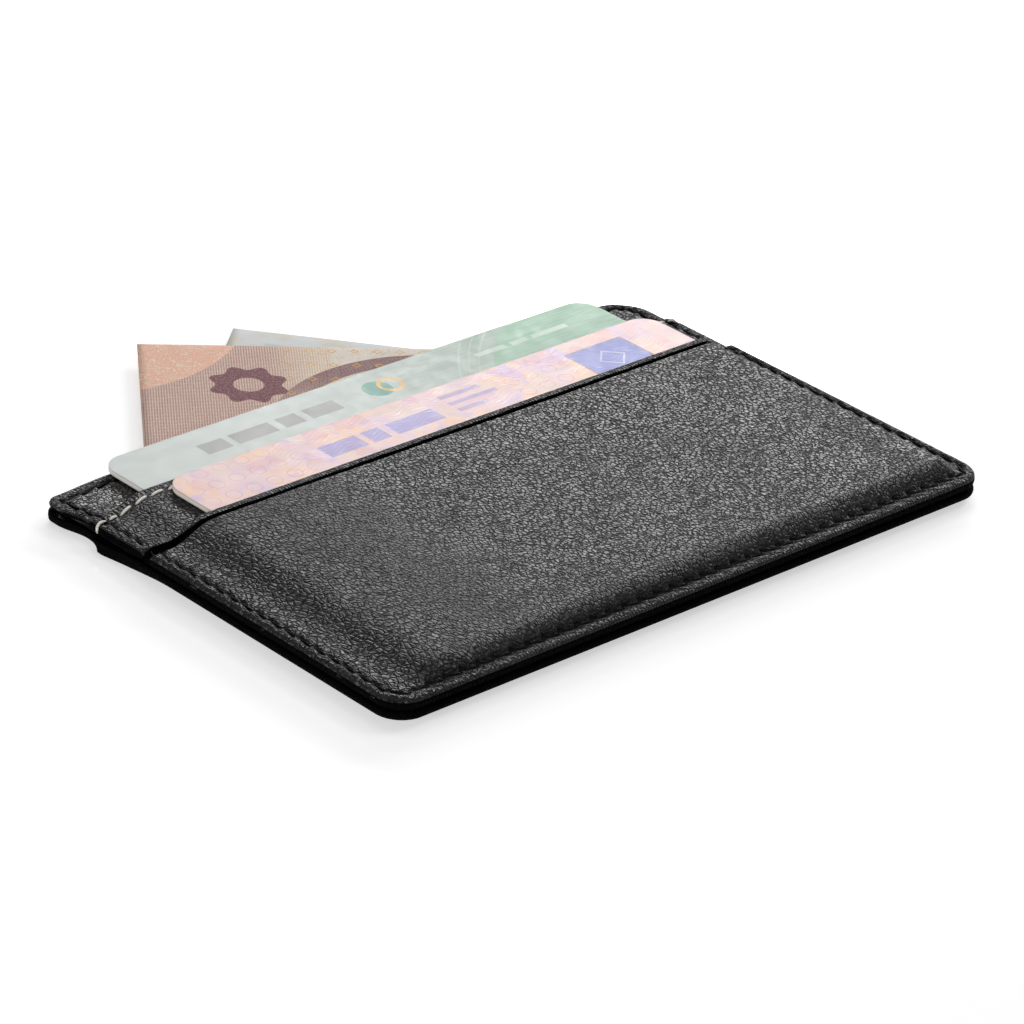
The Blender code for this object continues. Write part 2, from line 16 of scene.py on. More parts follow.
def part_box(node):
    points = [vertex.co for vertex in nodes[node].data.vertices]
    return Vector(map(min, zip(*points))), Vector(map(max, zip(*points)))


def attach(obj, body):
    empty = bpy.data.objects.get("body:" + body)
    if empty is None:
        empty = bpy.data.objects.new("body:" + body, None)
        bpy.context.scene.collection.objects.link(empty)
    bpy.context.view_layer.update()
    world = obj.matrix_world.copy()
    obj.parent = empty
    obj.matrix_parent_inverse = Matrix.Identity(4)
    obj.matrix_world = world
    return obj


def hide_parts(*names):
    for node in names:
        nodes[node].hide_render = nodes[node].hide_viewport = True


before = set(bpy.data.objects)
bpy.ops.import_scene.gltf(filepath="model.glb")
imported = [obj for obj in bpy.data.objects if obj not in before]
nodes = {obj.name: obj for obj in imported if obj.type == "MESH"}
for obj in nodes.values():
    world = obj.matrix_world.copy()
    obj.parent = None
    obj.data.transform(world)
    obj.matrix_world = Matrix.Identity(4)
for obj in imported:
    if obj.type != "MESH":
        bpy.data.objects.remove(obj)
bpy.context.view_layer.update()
mm = 0.001

# %% [markdown]
# ## Measures
#
# The frame says where each layer lies. Its boxes give the outline, the pocket mouths and the
# heights of the cards, so that only the thin measures of the leather itself are written here.

# %% Read the outline and the heights
face_low, face_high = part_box("lower_pocket_panel")
left, right, closed = face_low.x, face_high.x, face_low.y
face_mouth = face_high.y
lip_low, lip_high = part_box("lower_pocket_lip")
middle_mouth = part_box("upper_pocket_panel")[1].y
cover_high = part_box("front_cover")[1]
open_edge, cover_top = cover_high.y, cover_high.z
bank_low, bank_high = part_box("bank_card")
licence_low, licence_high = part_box("licence_card")

leather = 0.35 * mm
cloth = 0.10 * mm
slack = 0.03 * mm
layer = leather + cloth + 2 * slack
middle_top = cover_top + layer
face_top = middle_top + layer
face_lift = licence_high.z + layer + 0.01 * mm - face_top
middle_lift = bank_high.z + layer + 0.01 * mm - middle_top
front_under = cover_top - 0.66 * mm
back_over = 1.88 * mm
corner = 4.0 * mm
fine_border = 5.0 * mm
print("tops in mm:", [round(z / mm, 2) for z in (cover_top, middle_top, face_top)])
print("lifts in mm:", round(face_lift / mm, 2), round(middle_lift / mm, 2))

# %% [markdown]
# ## Camera
#
# The photograph was taken with a long lens from the corner of the closed edge and the left side,
# a little above the table. A camera fitted to the edges of the two cards gives the numbers below.

# %% Camera
heading, descent, tilt = 0.779407, 0.480593, 0.073401
distance, focal = 636.68 * mm, 4944.9
aim = Vector((-1.892 * mm, -0.562 * mm, 0.0))

forward = Vector((sin(heading) * cos(descent), cos(heading) * cos(descent), -sin(descent)))
level = Vector((cos(heading), -sin(heading), 0.0))
upward = level.cross(forward)
camera_x = level * cos(tilt) + upward * sin(tilt)
camera_y = upward * cos(tilt) - level * sin(tilt)

camera_data = bpy.data.cameras.new("camera")
camera_data.sensor_width = 36.0
camera_data.lens = 36.0 * focal / 1024
camera_data.clip_start, camera_data.clip_end = 0.02, 20.0
camera = bpy.data.objects.new("camera", camera_data)
turned = Matrix((camera_x, camera_y, -forward)).transposed().to_4x4()
camera.matrix_world = Matrix.Translation(aim - forward * distance) @ turned
bpy.context.scene.collection.objects.link(camera)
bpy.context.scene.camera = camera
print("lens in mm:", round(camera_data.lens, 1))

# %% [markdown]
# ## Floor and light
#
# The holder lies on a white glossy table. The floor has a pale colour and a hard clear shine, and
# only the camera and the shiny surfaces see a small added glow that takes it to white, so the
# shadow stays and no extra light falls on the leather.

# %% Node helpers
def new_material(name):
    material = bpy.data.materials.new(name)
    material.use_nodes = True
    return material, material.node_tree, material.node_tree.nodes["Principled BSDF"]


class Signal:
    """What a node gives out. Each sign of arithmetic on it adds a Math node to its tree."""

    def __init__(self, socket):
        self.socket, self.tree = socket, socket.id_data

    def __add__(self, other):
        return calc("ADD", self, other)

    def __radd__(self, other):
        return calc("ADD", other, self)

    def __sub__(self, other):
        return calc("SUBTRACT", self, other)

    def __rsub__(self, other):
        return calc("SUBTRACT", other, self)

    def __mul__(self, other):
        return calc("MULTIPLY", self, other)

    def __truediv__(self, other):
        return calc("DIVIDE", self, other)

    def __rtruediv__(self, other):
        return calc("DIVIDE", other, self)

    def __abs__(self):
        return calc("ABSOLUTE", self)


def out(node, name=0):
    return Signal(node.outputs[name])


def feed(socket, value):
    """Wires a signal to a socket, or sets the socket to a plain value."""
    if isinstance(value, Signal):
        value.tree.links.new(value.socket, socket)
    else:
        socket.default_value = value


def add(tree, kind, inputs=(), **settings):
    """A node with its settings and inputs. An input is a value or a signal."""
    node = tree.nodes.new(kind)
    for key, value in settings.items():
        setattr(node, key, value)
    for key, value in dict(inputs).items():
        feed(node.inputs[key], value)
    return node


def calc(operation, *values, clamp=False):
    tree = next(value.tree for value in values if isinstance(value, Signal))
    return out(add(tree, "ShaderNodeMath", dict(enumerate(values)), operation=operation,
                   use_clamp=clamp))


def sine(angle):
    return calc("SINE", angle)


def vector_calc(operation, first, second, output="Vector"):
    return out(add(first.tree, "ShaderNodeVectorMath", {0: first, 1: second},
                   operation=operation), output)


def split(vector):
    return [Signal(part) for part in
            add(vector.tree, "ShaderNodeSeparateXYZ", {0: vector}).outputs]


def cloudy(place, scale, detail, **more):
    """Soft random clouds, a number round one half."""
    return out(add(place.tree, "ShaderNodeTexNoise",
                   {"Vector": place, "Scale": scale, "Detail": detail, **more}), "Fac")


def span(value, low, high, start=0.0, end=1.0):
    """Takes the range low to high over to start to end, softly at both ends."""
    return out(add(value.tree, "ShaderNodeMapRange",
                   {"Value": value, "From Min": low, "From Max": high,
                    "To Min": start, "To Max": end}, interpolation_type="SMOOTHSTEP"), "Result")


def mix_colour(share, first, second):
    return out(add(share.tree, "ShaderNodeMix", {0: share, 6: first, 7: second},
                   data_type="RGBA"), 2)


def dress(shader, colour, roughness, height, depth, shine=None):
    """Feeds a shader its colour, its roughness and a relief that is so many metres deep."""
    feed(shader.inputs["Base Color"], colour)
    feed(shader.inputs["Roughness"], roughness)
    feed(shader.inputs["Normal"],
         out(add(height.tree, "ShaderNodeBump", {"Height": height, "Distance": depth})))
    if shine is not None:
        shader.inputs["Specular IOR Level"].default_value = shine


def rgb(red, green, blue):
    """A colour as a screen shows it, turned to the linear value that a shader takes."""
    linear = [(part / 255 / 12.92) if part < 11 else ((part / 255 + 0.055) / 1.055) ** 2.4
              for part in (red, green, blue)]
    return (*linear, 1.0)


# %% Floor
floor_material, tree, shader = new_material("white_table")
shader.inputs["Base Color"].default_value = (0.80, 0.80, 0.80, 1.0)
shader.inputs["Roughness"].default_value = 0.04
shader.inputs["IOR"].default_value = 1.9
path = add(tree, "ShaderNodeLightPath")
seen = calc("MAXIMUM", out(path, "Is Camera Ray"),
            calc("MAXIMUM", out(path, "Is Glossy Ray"), out(path, "Is Transmission Ray")))
glow = add(tree, "ShaderNodeEmission", {"Strength": seen * 0.54})
both = add(tree, "ShaderNodeAddShader", {0: out(shader), 1: out(glow)})
feed(tree.nodes["Material Output"].inputs["Surface"], out(both))

bm = bmesh.new()
bmesh.ops.create_grid(bm, x_segments=8, y_segments=8, size=1.6)
mesh = bpy.data.meshes.new("table_floor")
bm.to_mesh(mesh)
bm.free()
mesh.materials.append(floor_material)
table_floor = bpy.data.objects.new("table_floor", mesh)
bpy.context.scene.collection.objects.link(table_floor)
print("floor laid")

# %% Light
world = bpy.data.worlds.new("studio")
world.use_nodes = True
world.node_tree.nodes["Background"].inputs["Color"].default_value = (1.0, 1.0, 1.0, 1.0)
world.node_tree.nodes["Background"].inputs["Strength"].default_value = 0.13
bpy.context.scene.world = world
bpy.context.scene.view_settings.view_transform = "Standard"


def softbox(name, place, width, height, power):
    """A lamp with a flat oblong face, turned to the middle of the holder."""
    lamp = bpy.data.lights.new(name, "AREA")
    lamp.shape = "RECTANGLE"
    lamp.size, lamp.size_y, lamp.energy = width, height, power
    piece = bpy.data.objects.new(name, lamp)
    piece.location = place
    piece.rotation_euler = (-Vector(place)).to_track_quat("-Z", "Y").to_euler()
    bpy.context.scene.collection.objects.link(piece)
    piece.visible_camera = False


softbox("softbox_behind", (0.478, 0.309, 0.212), 0.54, 0.07, 2.65)
softbox("softbox_above", (0.10, 0.16, 0.46), 0.26, 0.26, 0.50)
softbox("softbox_right", (0.42, -0.07, 0.47), 0.20, 0.20, 0.75)
softbox("softbox_left", (-0.34, -0.07, 0.07), 0.20, 0.06, 0.50)
print("lights placed")

# %% [markdown]
# ## Leather
#
# The leather has a fine pebble grain: small pillows less than a millimetre across, parted by
# dark creases, with a few longer wrinkles. A picture of leather would stop short at the folds.
# A node group that works on millimetres in space runs round every edge without a seam, and each
# material takes it with values of its own.

# %% Grain as a node group
def node_group(name, inputs, outputs):
    group = bpy.data.node_groups.new(name, "ShaderNodeTree")
    for label, kind, value in inputs:
        socket = group.interface.new_socket(name=label, in_out="INPUT", socket_type=kind)
        if value is not None:
            socket.default_value = value
    for label in outputs:
        group.interface.new_socket(name=label, in_out="OUTPUT", socket_type="NodeSocketFloat")
    return group, group.nodes.new("NodeGroupInput"), group.nodes.new("NodeGroupOutput")


grain, source, result = node_group(
    "pebble_grain",
    [("Place", "NodeSocketVector", None), ("Pebble Size", "NodeSocketFloat", 0.65),
     ("Wrinkles", "NodeSocketFloat", 1.0)], ["Height", "Crease", "Tone"])
place = out(source, "Place")
drift = add(grain, "ShaderNodeTexNoise", {"Vector": place, "Scale": 1.1, "Detail": 2.0})
shifted = vector_calc("MULTIPLY", out(drift, "Color"), (0.45, 0.45, 0.45))
bent = vector_calc("ADD", place, shifted)
stretched = out(add(grain, "ShaderNodeMapping", {"Vector": bent, "Scale": (1.55, 1.0, 1.2)}))
cell_inputs = {"Vector": stretched, "Scale": 1.0 / out(source, "Pebble Size"), "Randomness": 1.0}
to_edge = out(add(grain, "ShaderNodeTexVoronoi", cell_inputs, feature="DISTANCE_TO_EDGE"),
              "Distance")
cells = add(grain, "ShaderNodeTexVoronoi", cell_inputs)
pillow = span(to_edge, 0.0, 0.20)
ridge = abs(cloudy(place, 0.16, 3.0, Distortion=1.2) - 0.5)
wrinkle = span(ridge, 0.0, 0.02, 1.0, 0.0) * out(source, "Wrinkles")
height = pillow * 0.60 + cloudy(place, 2.2, 1.5) * 0.18 - wrinkle * 0.40
feed(result.inputs["Height"], height)
# Crease: where the colour gets painted shade and the leather is rougher.
feed(result.inputs["Crease"],
     calc("MAXIMUM", span(to_edge, 0.02, 0.20, 1.0, 0.0), wrinkle * 0.6))
cell_tone = out(add(grain, "ShaderNodeSeparateColor", {0: out(cells, "Color")}))
feed(result.inputs["Tone"], cell_tone * 0.6 + cloudy(place, 0.07, 2.0) * 0.8)
print("grain group:", len(grain.nodes), "nodes")

# %% Seam as a node group
stitch_pitch = 2.7 * mm
stitch_skew = 0.34 * mm
stitch_length = 0.86
seam_inset = 1.9 * mm

seam, source, result = node_group(
    "stitched_seam", [("Run", "NodeSocketFloat", 0.0), ("Reach", "NodeSocketFloat", 0.0)],
    ["Groove", "Height"])
run, reach = out(source, "Run"), out(source, "Reach")
share = calc("FRACT", run / (stitch_pitch / mm))
along_stitch = share * (2 / stitch_length) - 1.0
jump_back = 1.0 - (share - stitch_length) * (2 / (1 - stitch_length))
slant = calc("MINIMUM", along_stitch, jump_back)
uneven = add(seam, "ShaderNodeTexNoise", {"W": run, "Scale": 0.9, "Detail": 2.0},
             noise_dimensions="1D")
middle = (seam_inset / mm - slant * (stitch_skew / mm)
          + span(out(uneven, "Fac"), 0.0, 1.0, -0.12, 0.12))
off = abs(reach - middle)
groove = span(off, 0.14, 0.30, 1.0, 0.0)
pull = span(off, 0.0, 0.60, 1.0, 0.0)
swell = sine(calc("MINIMUM", share / stitch_length, 1.0) * pi)
hole = span(abs(share - 0.93), 0.0, 0.10, 1.0, 0.0)
outside = abs(reach - (middle - 0.8))
scallop = span(outside, 0.0, 0.6, 1.0, 0.0) * swell
pucker = span(outside, 0.2, 0.9, 1.0, 0.0) * hole
height = scallop * 0.20 - pucker * 0.20 - (1.0 + hole) * (groove * 0.20) - pull * 0.14
# The groove is where the leather's colour gets painted shade and more roughness.
feed(result.inputs["Groove"], groove)
feed(result.inputs["Height"], height)
print("seam group:", len(seam.nodes), "nodes")

# %% Leather materials
def in_millimetres(tree):
    """Object coordinates counted in millimetres."""
    coordinates = out(add(tree, "ShaderNodeTexCoord"), "Object")
    return out(add(tree, "ShaderNodeVectorMath", {0: coordinates, "Scale": 1000.0},
                   operation="SCALE"))


def read_marks(tree, name):
    """The three numbers that a piece carries at each point under one name."""
    marks = add(tree, "ShaderNodeAttribute", attribute_name=name, attribute_type="GEOMETRY")
    return split(out(marks, "Vector"))


def leather_material(name, dark, light, shine, roughness, fine, broad, depth, wrinkles, corner_light):
    """Grained leather with its seam. The pebbles are fine, and broad at the left of the lower
    pocket. Depth is the height of a pebble in millimetres; corner_light is how far a painted
    highlight lightens the open corner at the left to grey."""
    material, tree, shader = new_material(name)
    place = in_millimetres(tree)
    x, y, _ = split(place)
    broad_here = span(x, -46.0, -14.0, 1.0, 0.0) * span(y, 22.0, 27.0, 1.0, 0.0)
    fine_skin, broad_skin = (
        add(tree, "ShaderNodeGroup",
            {"Place": place, "Pebble Size": pebble, "Wrinkles": wrinkles}, node_tree=grain)
        for pebble in (fine, broad))
    grain_height, grain_crease, grain_tone = (
        out(add(tree, "ShaderNodeMix", {0: broad_here, 2: out(fine_skin, label),
                                        3: out(broad_skin, label)}))
        for label in ("Height", "Crease", "Tone"))
    run, reach, _ = read_marks(tree, "trim")
    rib_run, ribs, pressed = read_marks(tree, "marks")
    row = add(tree, "ShaderNodeGroup", {"Run": run, "Reach": reach}, node_tree=seam)
    # Painted shade: the stitch groove, the pressed crease and the lip's near side are darkened to
    # black.
    painted_black_shade = calc("MAXIMUM", pressed, out(row, "Groove"))
    wave = sine(rib_run * (2 * pi / 0.48) + grain_tone * 2.5)
    # Painted highlight: the open corner at the left is lightened towards a lit grey.
    painted_corner_light = span(x, -46.0, -34.0, corner_light, 0.0) * span(y, 27.0, 30.0, 0.0, 1.0)
    colour = mix_colour(painted_corner_light, mix_colour(grain_tone, dark, light), rgb(104, 100, 101))
    # Painted shade: the creases between the pebbles are darkened.
    colour = mix_colour(grain_crease, colour, (0.003, 0.003, 0.003, 1.0))
    colour = mix_colour(painted_black_shade, colour, (0.001, 0.001, 0.001, 1.0))
    rough = calc("ADD", roughness + grain_crease * 0.35, painted_black_shade * 0.5, clamp=True)
    pebbles = grain_height * span(broad_here, 0.0, 1.0, depth, depth * 1.9)
    relief = pebbles + wave * (ribs * 0.07) + out(row, "Height")
    dress(shader, colour, rough, relief, mm, shine)
    return material


black_leather = leather_material("black_leather", rgb(24, 22, 23), rgb(37, 34, 35),
                                 0.35, 0.36, 0.78, 0.94, 0.26, 1.0, 0.6)
# Painted shade: a near-black, barely shiny copy of the leather for walls and creases that take no
# light.
painted_shade_leather = leather_material("painted_shade_leather", rgb(3, 3, 3), rgb(6, 5, 6),
                                  0.02, 0.60, 0.58, 0.80, 0.18, 0.2, 0.0)
print("leather materials made")

# %% [markdown]
# ## How a skin lies
#
# A real panel is a flat cut of leather: it lies over the cards, sinks into the stitch row and
# turns round the edge of the half. It could be sculpted, but every panel does the same thing, so
# a flat grid is laid down by one rule. A point of the grid knows how far in from the sewn edge it
# lies. Past the edge that distance goes on below zero, round the fold and down the wall.

# %% Small rules of shape
def ease(share):
    share = min(max(share, 0.0), 1.0)
    return share * share * (3 - 2 * share)


def hump(value, middle, width):
    return exp(-((value - middle) / width) ** 2)


def wobble(x, y, size, seed=0.0):
    """A soft random height from about -1 to 1, with features of one size."""
    return noise.noise(Vector((x / size, y / size, seed))) * 1.6


def over_card(x, y, low, high, side_start, foot_start, travel):
    """0 on the sewn border, 1 over the card, with a soft fall between."""
    clear = 0.2 * mm
    west = ease(ease((x - left - side_start) / (low.x - clear - left - side_start)))
    east = ease((right - side_start - x) / (right - side_start - high.x - clear))
    foot_end = low.y - travel + 0.2 * mm
    foot = (y - closed - foot_start) / (foot_end - closed - foot_start)
    steepness = 1.15 - 0.40 * ease((76 * mm - x + left) / (34 * mm))
    return west * east * sin(pi / 2 * min(max(foot, 0.0), 1.0)) ** steepness


def face_height(x, y):
    """The front of the lower pocket without its seams."""
    lift = face_lift * over_card(x, y, licence_low, licence_high, 2.3 * mm, 2.2 * mm, 0.5 * mm)
    return face_top + lift


def middle_height(x, y):
    lift = over_card(x, y, bank_low, bank_high, 2.3 * mm, 12.0 * mm, 2.4 * mm)
    return middle_top + middle_lift * lift


def near_left(x, width, fade):
    """0 beyond a width from the left side, and 1 nearer to it by the fade."""
    return ease((width - (x - left)) / fade)


def bow(x):
    """How far the mouths hang back beside the cards, which push only the middle out."""
    east = ease((6 * mm - (right - x)) / (6 * mm))
    return 1.45 * mm * near_left(x, 11 * mm, 11 * mm) + 1.2 * mm * east


def hang(x, v, mouth):
    """How far a point hangs back: as far as its mouth does there, and less further in."""
    return bow(x) * ease((v - mouth + 12 * mm) / (12 * mm))


def face_bow(x):
    """The lower pocket is held nearer to its mouth, so it hangs back less on the left."""
    return bow(x) - 0.80 * mm * near_left(x, 11 * mm, 11 * mm)


# %% Around the fold
def round_the_edge(reach, top, bottom, bend):
    """Follows the leather over the fold: how far in it lies, and how high."""
    if reach >= bend:
        return reach, top
    run = bend - reach
    arc = bend * pi / 2
    wall = max(top - bottom - 2 * bend, 0.0001 * mm)
    if run < arc:
        return bend - bend * sin(run / bend), top - bend + bend * cos(run / bend)
    run -= arc
    if run < wall:
        return -0.05 * mm * sin(pi * run / wall), top - bend - run
    run -= wall
    if run < arc:
        return bend - bend * cos(run / bend), bottom + bend - bend * sin(run / bend)
    return bend + run - arc, bottom


def fold_length(top, bottom, bend, tuck):
    return bend * pi + max(top - bottom - 2 * bend, 0.0) + tuck


def steps(start, end, size):
    count = max(1, ceil(abs(end - start) / size - 0.01))
    return [start + (end - start) * index / count for index in range(count)]


def edge_lines(length, bend):
    """Grid lines of one sewn edge, from the tuck under the half to past the stitch row."""
    return (steps(bend - length, bend, 0.17 * mm) + steps(bend, 2.6 * mm, 0.16 * mm)
            + steps(2.6 * mm, fine_border, 0.3 * mm))


# %% Around the corners
def round_corner(side_reach, end_reach, radius):
    """Bends a square corner of the grid: the reach in from the outline, and the turn."""
    across, along = radius - side_reach, radius - end_reach
    if along <= across:
        return radius - across, pi / 4 * along / across
    return radius - along, pi / 2 - pi / 4 * across / along


side_run = open_edge - closed - corner
turn_run = (corner - seam_inset) * pi / 2
width_run = right - left - 2 * corner
whole_run = 2 * (side_run + turn_run) + width_run


class Outline:
    """The outline of one skin. It lays down grid points, and counts the run of the seam."""

    def __init__(self, inset, end=None, open_radii=(0.0, 0.0)):
        self.west, self.east = left + inset, right - inset
        self.south, self.north = closed + inset, end
        self.radius, self.open_radii = corner - inset, open_radii

    def lay(self, u, v, top_rule, bottom, bend):
        """Where a grid point comes to lie: x, y, z, its reach in, and the run of the seam."""
        westward = u - self.west < self.east - u
        side = min(u - self.west, self.east - u)
        foot = v - self.south
        open_radius = self.open_radii[0 if westward else 1]
        head = self.north - v if open_radius else 1.0
        sign, edge = (1, self.west) if westward else (-1, self.east)
        run = open_edge - v
        radius, round_end, up = self.radius, None, -1
        if side < self.radius and foot < self.radius:
            reach, turn = round_corner(side, foot, radius)
            round_end, run = self.south + radius, side_run + turn / (pi / 2) * turn_run
        elif side < open_radius and head < open_radius:
            radius, up = open_radius, 1
            reach, turn = round_corner(side, head, radius)
            round_end = self.north - radius
        else:
            reach = min(side, foot, head)
            if foot < self.radius:
                run = side_run + turn_run + u - left - corner

        def at(inward):
            if round_end is not None:
                arm = radius - inward
                return (edge + sign * radius - sign * arm * cos(turn),
                        round_end + up * arm * sin(turn))
            if reach == side and foot >= self.radius:
                return edge + sign * inward, v
            if reach == foot:
                return u, self.south + inward
            return u, self.north - inward

        if not westward and (side < self.radius or reach == side) and foot > -1:
            run = whole_run - run if not (foot < self.radius <= side) else run
        x, y = at(max(reach, bend))
        inward, z = round_the_edge(reach, top_rule(x, y), bottom, bend)
        x, y = at(inward)
        return x, y, z, reach, run

    def by_open_edge(self, u, v):
        return self.north is not None and self.north - v < min(u - self.west, self.east - u)


print("length of the row in mm:", round(whole_run / mm, 1))

# %% [markdown]
# ## The stitch row
#
# The sewing machine sets a stitch every 2.7 mm. Each stitch lies a little askew, pulls the leather
# down at its two holes and lets it swell between them. That gives the scalloped line beside the
# edge, which is drawn dark with painted shade in its groove. The leather's seam group and the rule
# below share their measures, so the thread comes to lie in the groove that the material draws.

# %% Stitch rule
side_shift = 0.45 * mm


def row_inset(run):
    """Where the row runs at one place: it slants outwards along a stitch and jumps back."""
    share = (run / stitch_pitch) % 1.0
    slant = min(share * 2 / stitch_length - 1,
                1 - (share - stitch_length) * 2 / (1 - stitch_length))
    return seam_inset - stitch_skew * slant


def nearer_on_sides(run):
    """On its left and right sides the lower pocket's row runs nearer to the edge."""
    back = min(run, whole_run - run)
    return side_shift * (1 - ease((back - side_run) / turn_run))


def seam_relief(reach, run, depth):
    """The soft hollow of the row and the swelling beside it. The node group draws the rest."""
    share = (run / stitch_pitch) % 1.0
    swell = sin(pi * min(share / stitch_length, 1.0))
    hollow = hump(reach, row_inset(run), 0.38 * mm)
    strip = hump(reach, row_inset(run) - 0.80 * mm, 0.45 * mm)
    return depth * (0.35 * strip * swell - 0.80 * hollow)


print("stitches in the row:", round(whole_run / stitch_pitch))

# %% [markdown]
# ## Turning grids into pieces
#
# `create_grid` makes the net, the rules above lay it down, and a Solidify modifier gives it the
# thickness of the leather. The faces of the wall get painted shade, a second near-black copy of the
# leather: in the photograph the wall takes no light at all.

# %% Build a skin
def link_piece(bm, name, body, replaced, materials, thickness=0.0):
    """Makes an object from a finished bmesh, hangs it on its body and hides the part it replaces."""
    mesh = bpy.data.meshes.new(name)
    bm.to_mesh(mesh)
    bm.free()
    for material in materials:
        mesh.materials.append(material)
    mesh.shade_smooth()
    piece = bpy.data.objects.new(name, mesh)
    bpy.context.scene.collection.objects.link(piece)
    if thickness:
        wall = piece.modifiers.new("thickness", "SOLIDIFY")
        wall.thickness, wall.offset = thickness, -1.0
        if mesh.vertices[0].groups:
            piece.vertex_groups.new(name="full")
            wall.vertex_group, wall.thickness_vertex_group = "full", 0.15
    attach(piece, body)
    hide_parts(replaced)
    print(name, len(mesh.polygons), "faces")
    return piece


def lay_grid(columns, rows, place, upside_down=False):
    """A grid whose lines run where the lists say, laid down by a rule."""
    bm = bmesh.new()
    trim = bm.verts.layers.float_vector.new("trim")
    marks = bm.verts.layers.float_vector.new("marks")
    bmesh.ops.create_grid(bm, x_segments=len(columns) - 1, y_segments=len(rows) - 1, size=1.0)
    for vert in bm.verts:
        column = round((vert.co.x + 1) / 2 * (len(columns) - 1))
        row = round((vert.co.y + 1) / 2 * (len(rows) - 1))
        vert.co, run, reach, rib_run, ribs, pressed = place(columns[column], rows[row])
        vert[trim] = (run / mm, reach / mm, 0.0)
        vert[marks] = (rib_run / mm, ribs, pressed)
    bm.normal_update()
    if upside_down:
        bmesh.ops.reverse_faces(bm, faces=bm.faces[:])
    return bm


def paint_wall_shade(bm, rule):
    """Paints shade: gives the near-black second material to the pressed faces and to those for which
    the rule holds.
    """
    marks = bm.verts.layers.float_vector["marks"]
    for face in bm.faces:
        if rule(face.normal) or min(vert[marks].z for vert in face.verts) > 0.9:
            face.material_index = 1


def thin_where_pressed(bm):
    """Leather is thin where the crease presses it, so it keeps clear of the card."""
    marks = bm.verts.layers.float_vector["marks"]
    weight = bm.verts.layers.deform.verify()
    for vert in bm.verts:
        vert[weight][0] = 1.0 - min(vert[marks].z, 1.0)


def link_skin(bm, name, replaced, is_wall):
    """A skin of the holder: leather, with the near-black leather of painted shade on its walls."""
    paint_wall_shade(bm, is_wall)
    link_piece(bm, name, "holder", replaced, [black_leather, painted_shade_leather],
               leather)


def pulled_hole(x):
    """1 at the holes between the stitches of a hem, 0 elsewhere."""
    share = (x / hem_pitch) % 1.0
    return max(hump(share, 0.0, 0.13), hump(share, 1.0, 0.13))


def grid_lines(outline, length, bend, size, mouth=None, coarse=0.0):
    """Columns and rows for a skin that is fine at its sewn edges. The open end gets no fold."""
    side = edge_lines(length, bend)
    columns = ([outline.west + line for line in side]
               + steps(outline.west + fine_border, outline.east - fine_border, size)
               + [outline.east - fine_border] + [outline.east - line for line in reversed(side)])
    foot = steps(bend - length, fine_border, coarse) if coarse else side
    rows = [outline.south + line for line in foot]
    if mouth is None:
        rows += (steps(outline.south + fine_border, outline.north - fine_border, size)
                 + [outline.north - fine_border]
                 + [outline.north - line for line in reversed(side)])
    return columns, rows


# %% [markdown]
# ## Lower pocket
#
# This is the large face of the photograph. It is draped over the front card, drops to the seam on
# three sides, and ends above in a pressed crease with a rolled lip behind it.

# %% Lower pocket
def dents(x, y):
    """Soft dents and swellings of used leather, never so deep that they reach the card."""
    px, py = (x - left) / mm, (y - closed) / mm
    total = 0.10 * hump(py, 9.5, 3.0) * ease((px - 8) / 20) * ease((98 - px) / 10)
    total += 0.12 * hump(px, 96.0, 2.0) * ease((44 - py) / 20)
    total -= 0.12 * hump(px, 90.5, 3.5) * hump(py, 13.0, 5.0)
    total += 0.05 * wobble(px, py, 17.0, 3.0) + 0.03 * wobble(px, py, 7.0, 8.0)
    over = over_card(x, y, licence_low, licence_high, 2.3 * mm, 2.2 * mm, 0.5 * mm)
    total = max(total, -0.04 - 0.25 * (1 - over))
    return total * mm * ease((px - 3) / 5) * ease((101 - px) / 4) * ease((py - 3) / 4)


face_bend = 0.60 * mm
face_outline = Outline(0.0)
crease_depth = 0.42 * mm
skin_end = lip_low.y + 0.9 * mm


def crease_start(x):
    return face_mouth + (0.45 - 0.25 * near_left(x, 11 * mm, 9 * mm)) * mm


def crease_fade(x):
    """The crease runs out before it reaches the right edge."""
    return ease((right - x - 0.8 * mm) / (3.0 * mm))


def face_with_crease(x, y):
    sink = ease((y - crease_start(x) + 0.30 * mm) / (0.60 * mm)) * crease_fade(x)
    return face_height(x, y) + dents(x, y) * (1 - sink) - crease_depth * sink


def place_face(u, v):
    x, y, z, reach, run = face_outline.lay(u, v, face_with_crease, front_under, face_bend)
    shown = ease(reach / (0.9 * mm))
    row = reach + nearer_on_sides(run)
    z += seam_relief(row, run, 0.26 * mm) * shown
    x += 0.035 * mm * wobble(run, reach, 1.3 * mm, 5.0) * (1 - shown)
    y -= face_bow(x) * ease((v - face_mouth + 14 * mm) / (14 * mm))
    ribs = 0.8 * ease((0.95 * mm - reach) / (0.5 * mm))
    # Where the crease sinks, the leather is thinned and drawn black as painted shade.
    sunk = ease((v - crease_start(u) + 0.15 * mm) / (0.3 * mm)) * crease_fade(u)
    return (x, y, z), run, row, run, ribs, sunk


length = fold_length(face_top, front_under, face_bend, 0.4 * mm)
columns, rows = grid_lines(face_outline, length, face_bend, 0.45 * mm, face_mouth)
rows += (steps(closed + fine_border, face_mouth - 1.6 * mm, 0.5 * mm)
         + steps(face_mouth - 1.6 * mm, skin_end, 0.12 * mm) + [skin_end])
bm = lay_grid(columns, rows, place_face)
thin_where_pressed(bm)
link_skin(bm, "pocket_face", "lower_pocket_panel", lambda normal: normal.z < 0.25)

# %% [markdown]
# ## Lip of the lower pocket
#
# The mouth is a narrow roll of leather, ribbed across by the needle. A tube bent along the drape
# would do, and it is made that way: a grid whose rows go round a flat oval and meet again.

# %% Lip
lip_middle = (lip_low.y + lip_high.y) / 2


def flat_round(value):
    """A sine that is squared off, so that a circle becomes a soft box."""
    return (abs(value) ** 0.55) * (1 if value > 0 else -1)


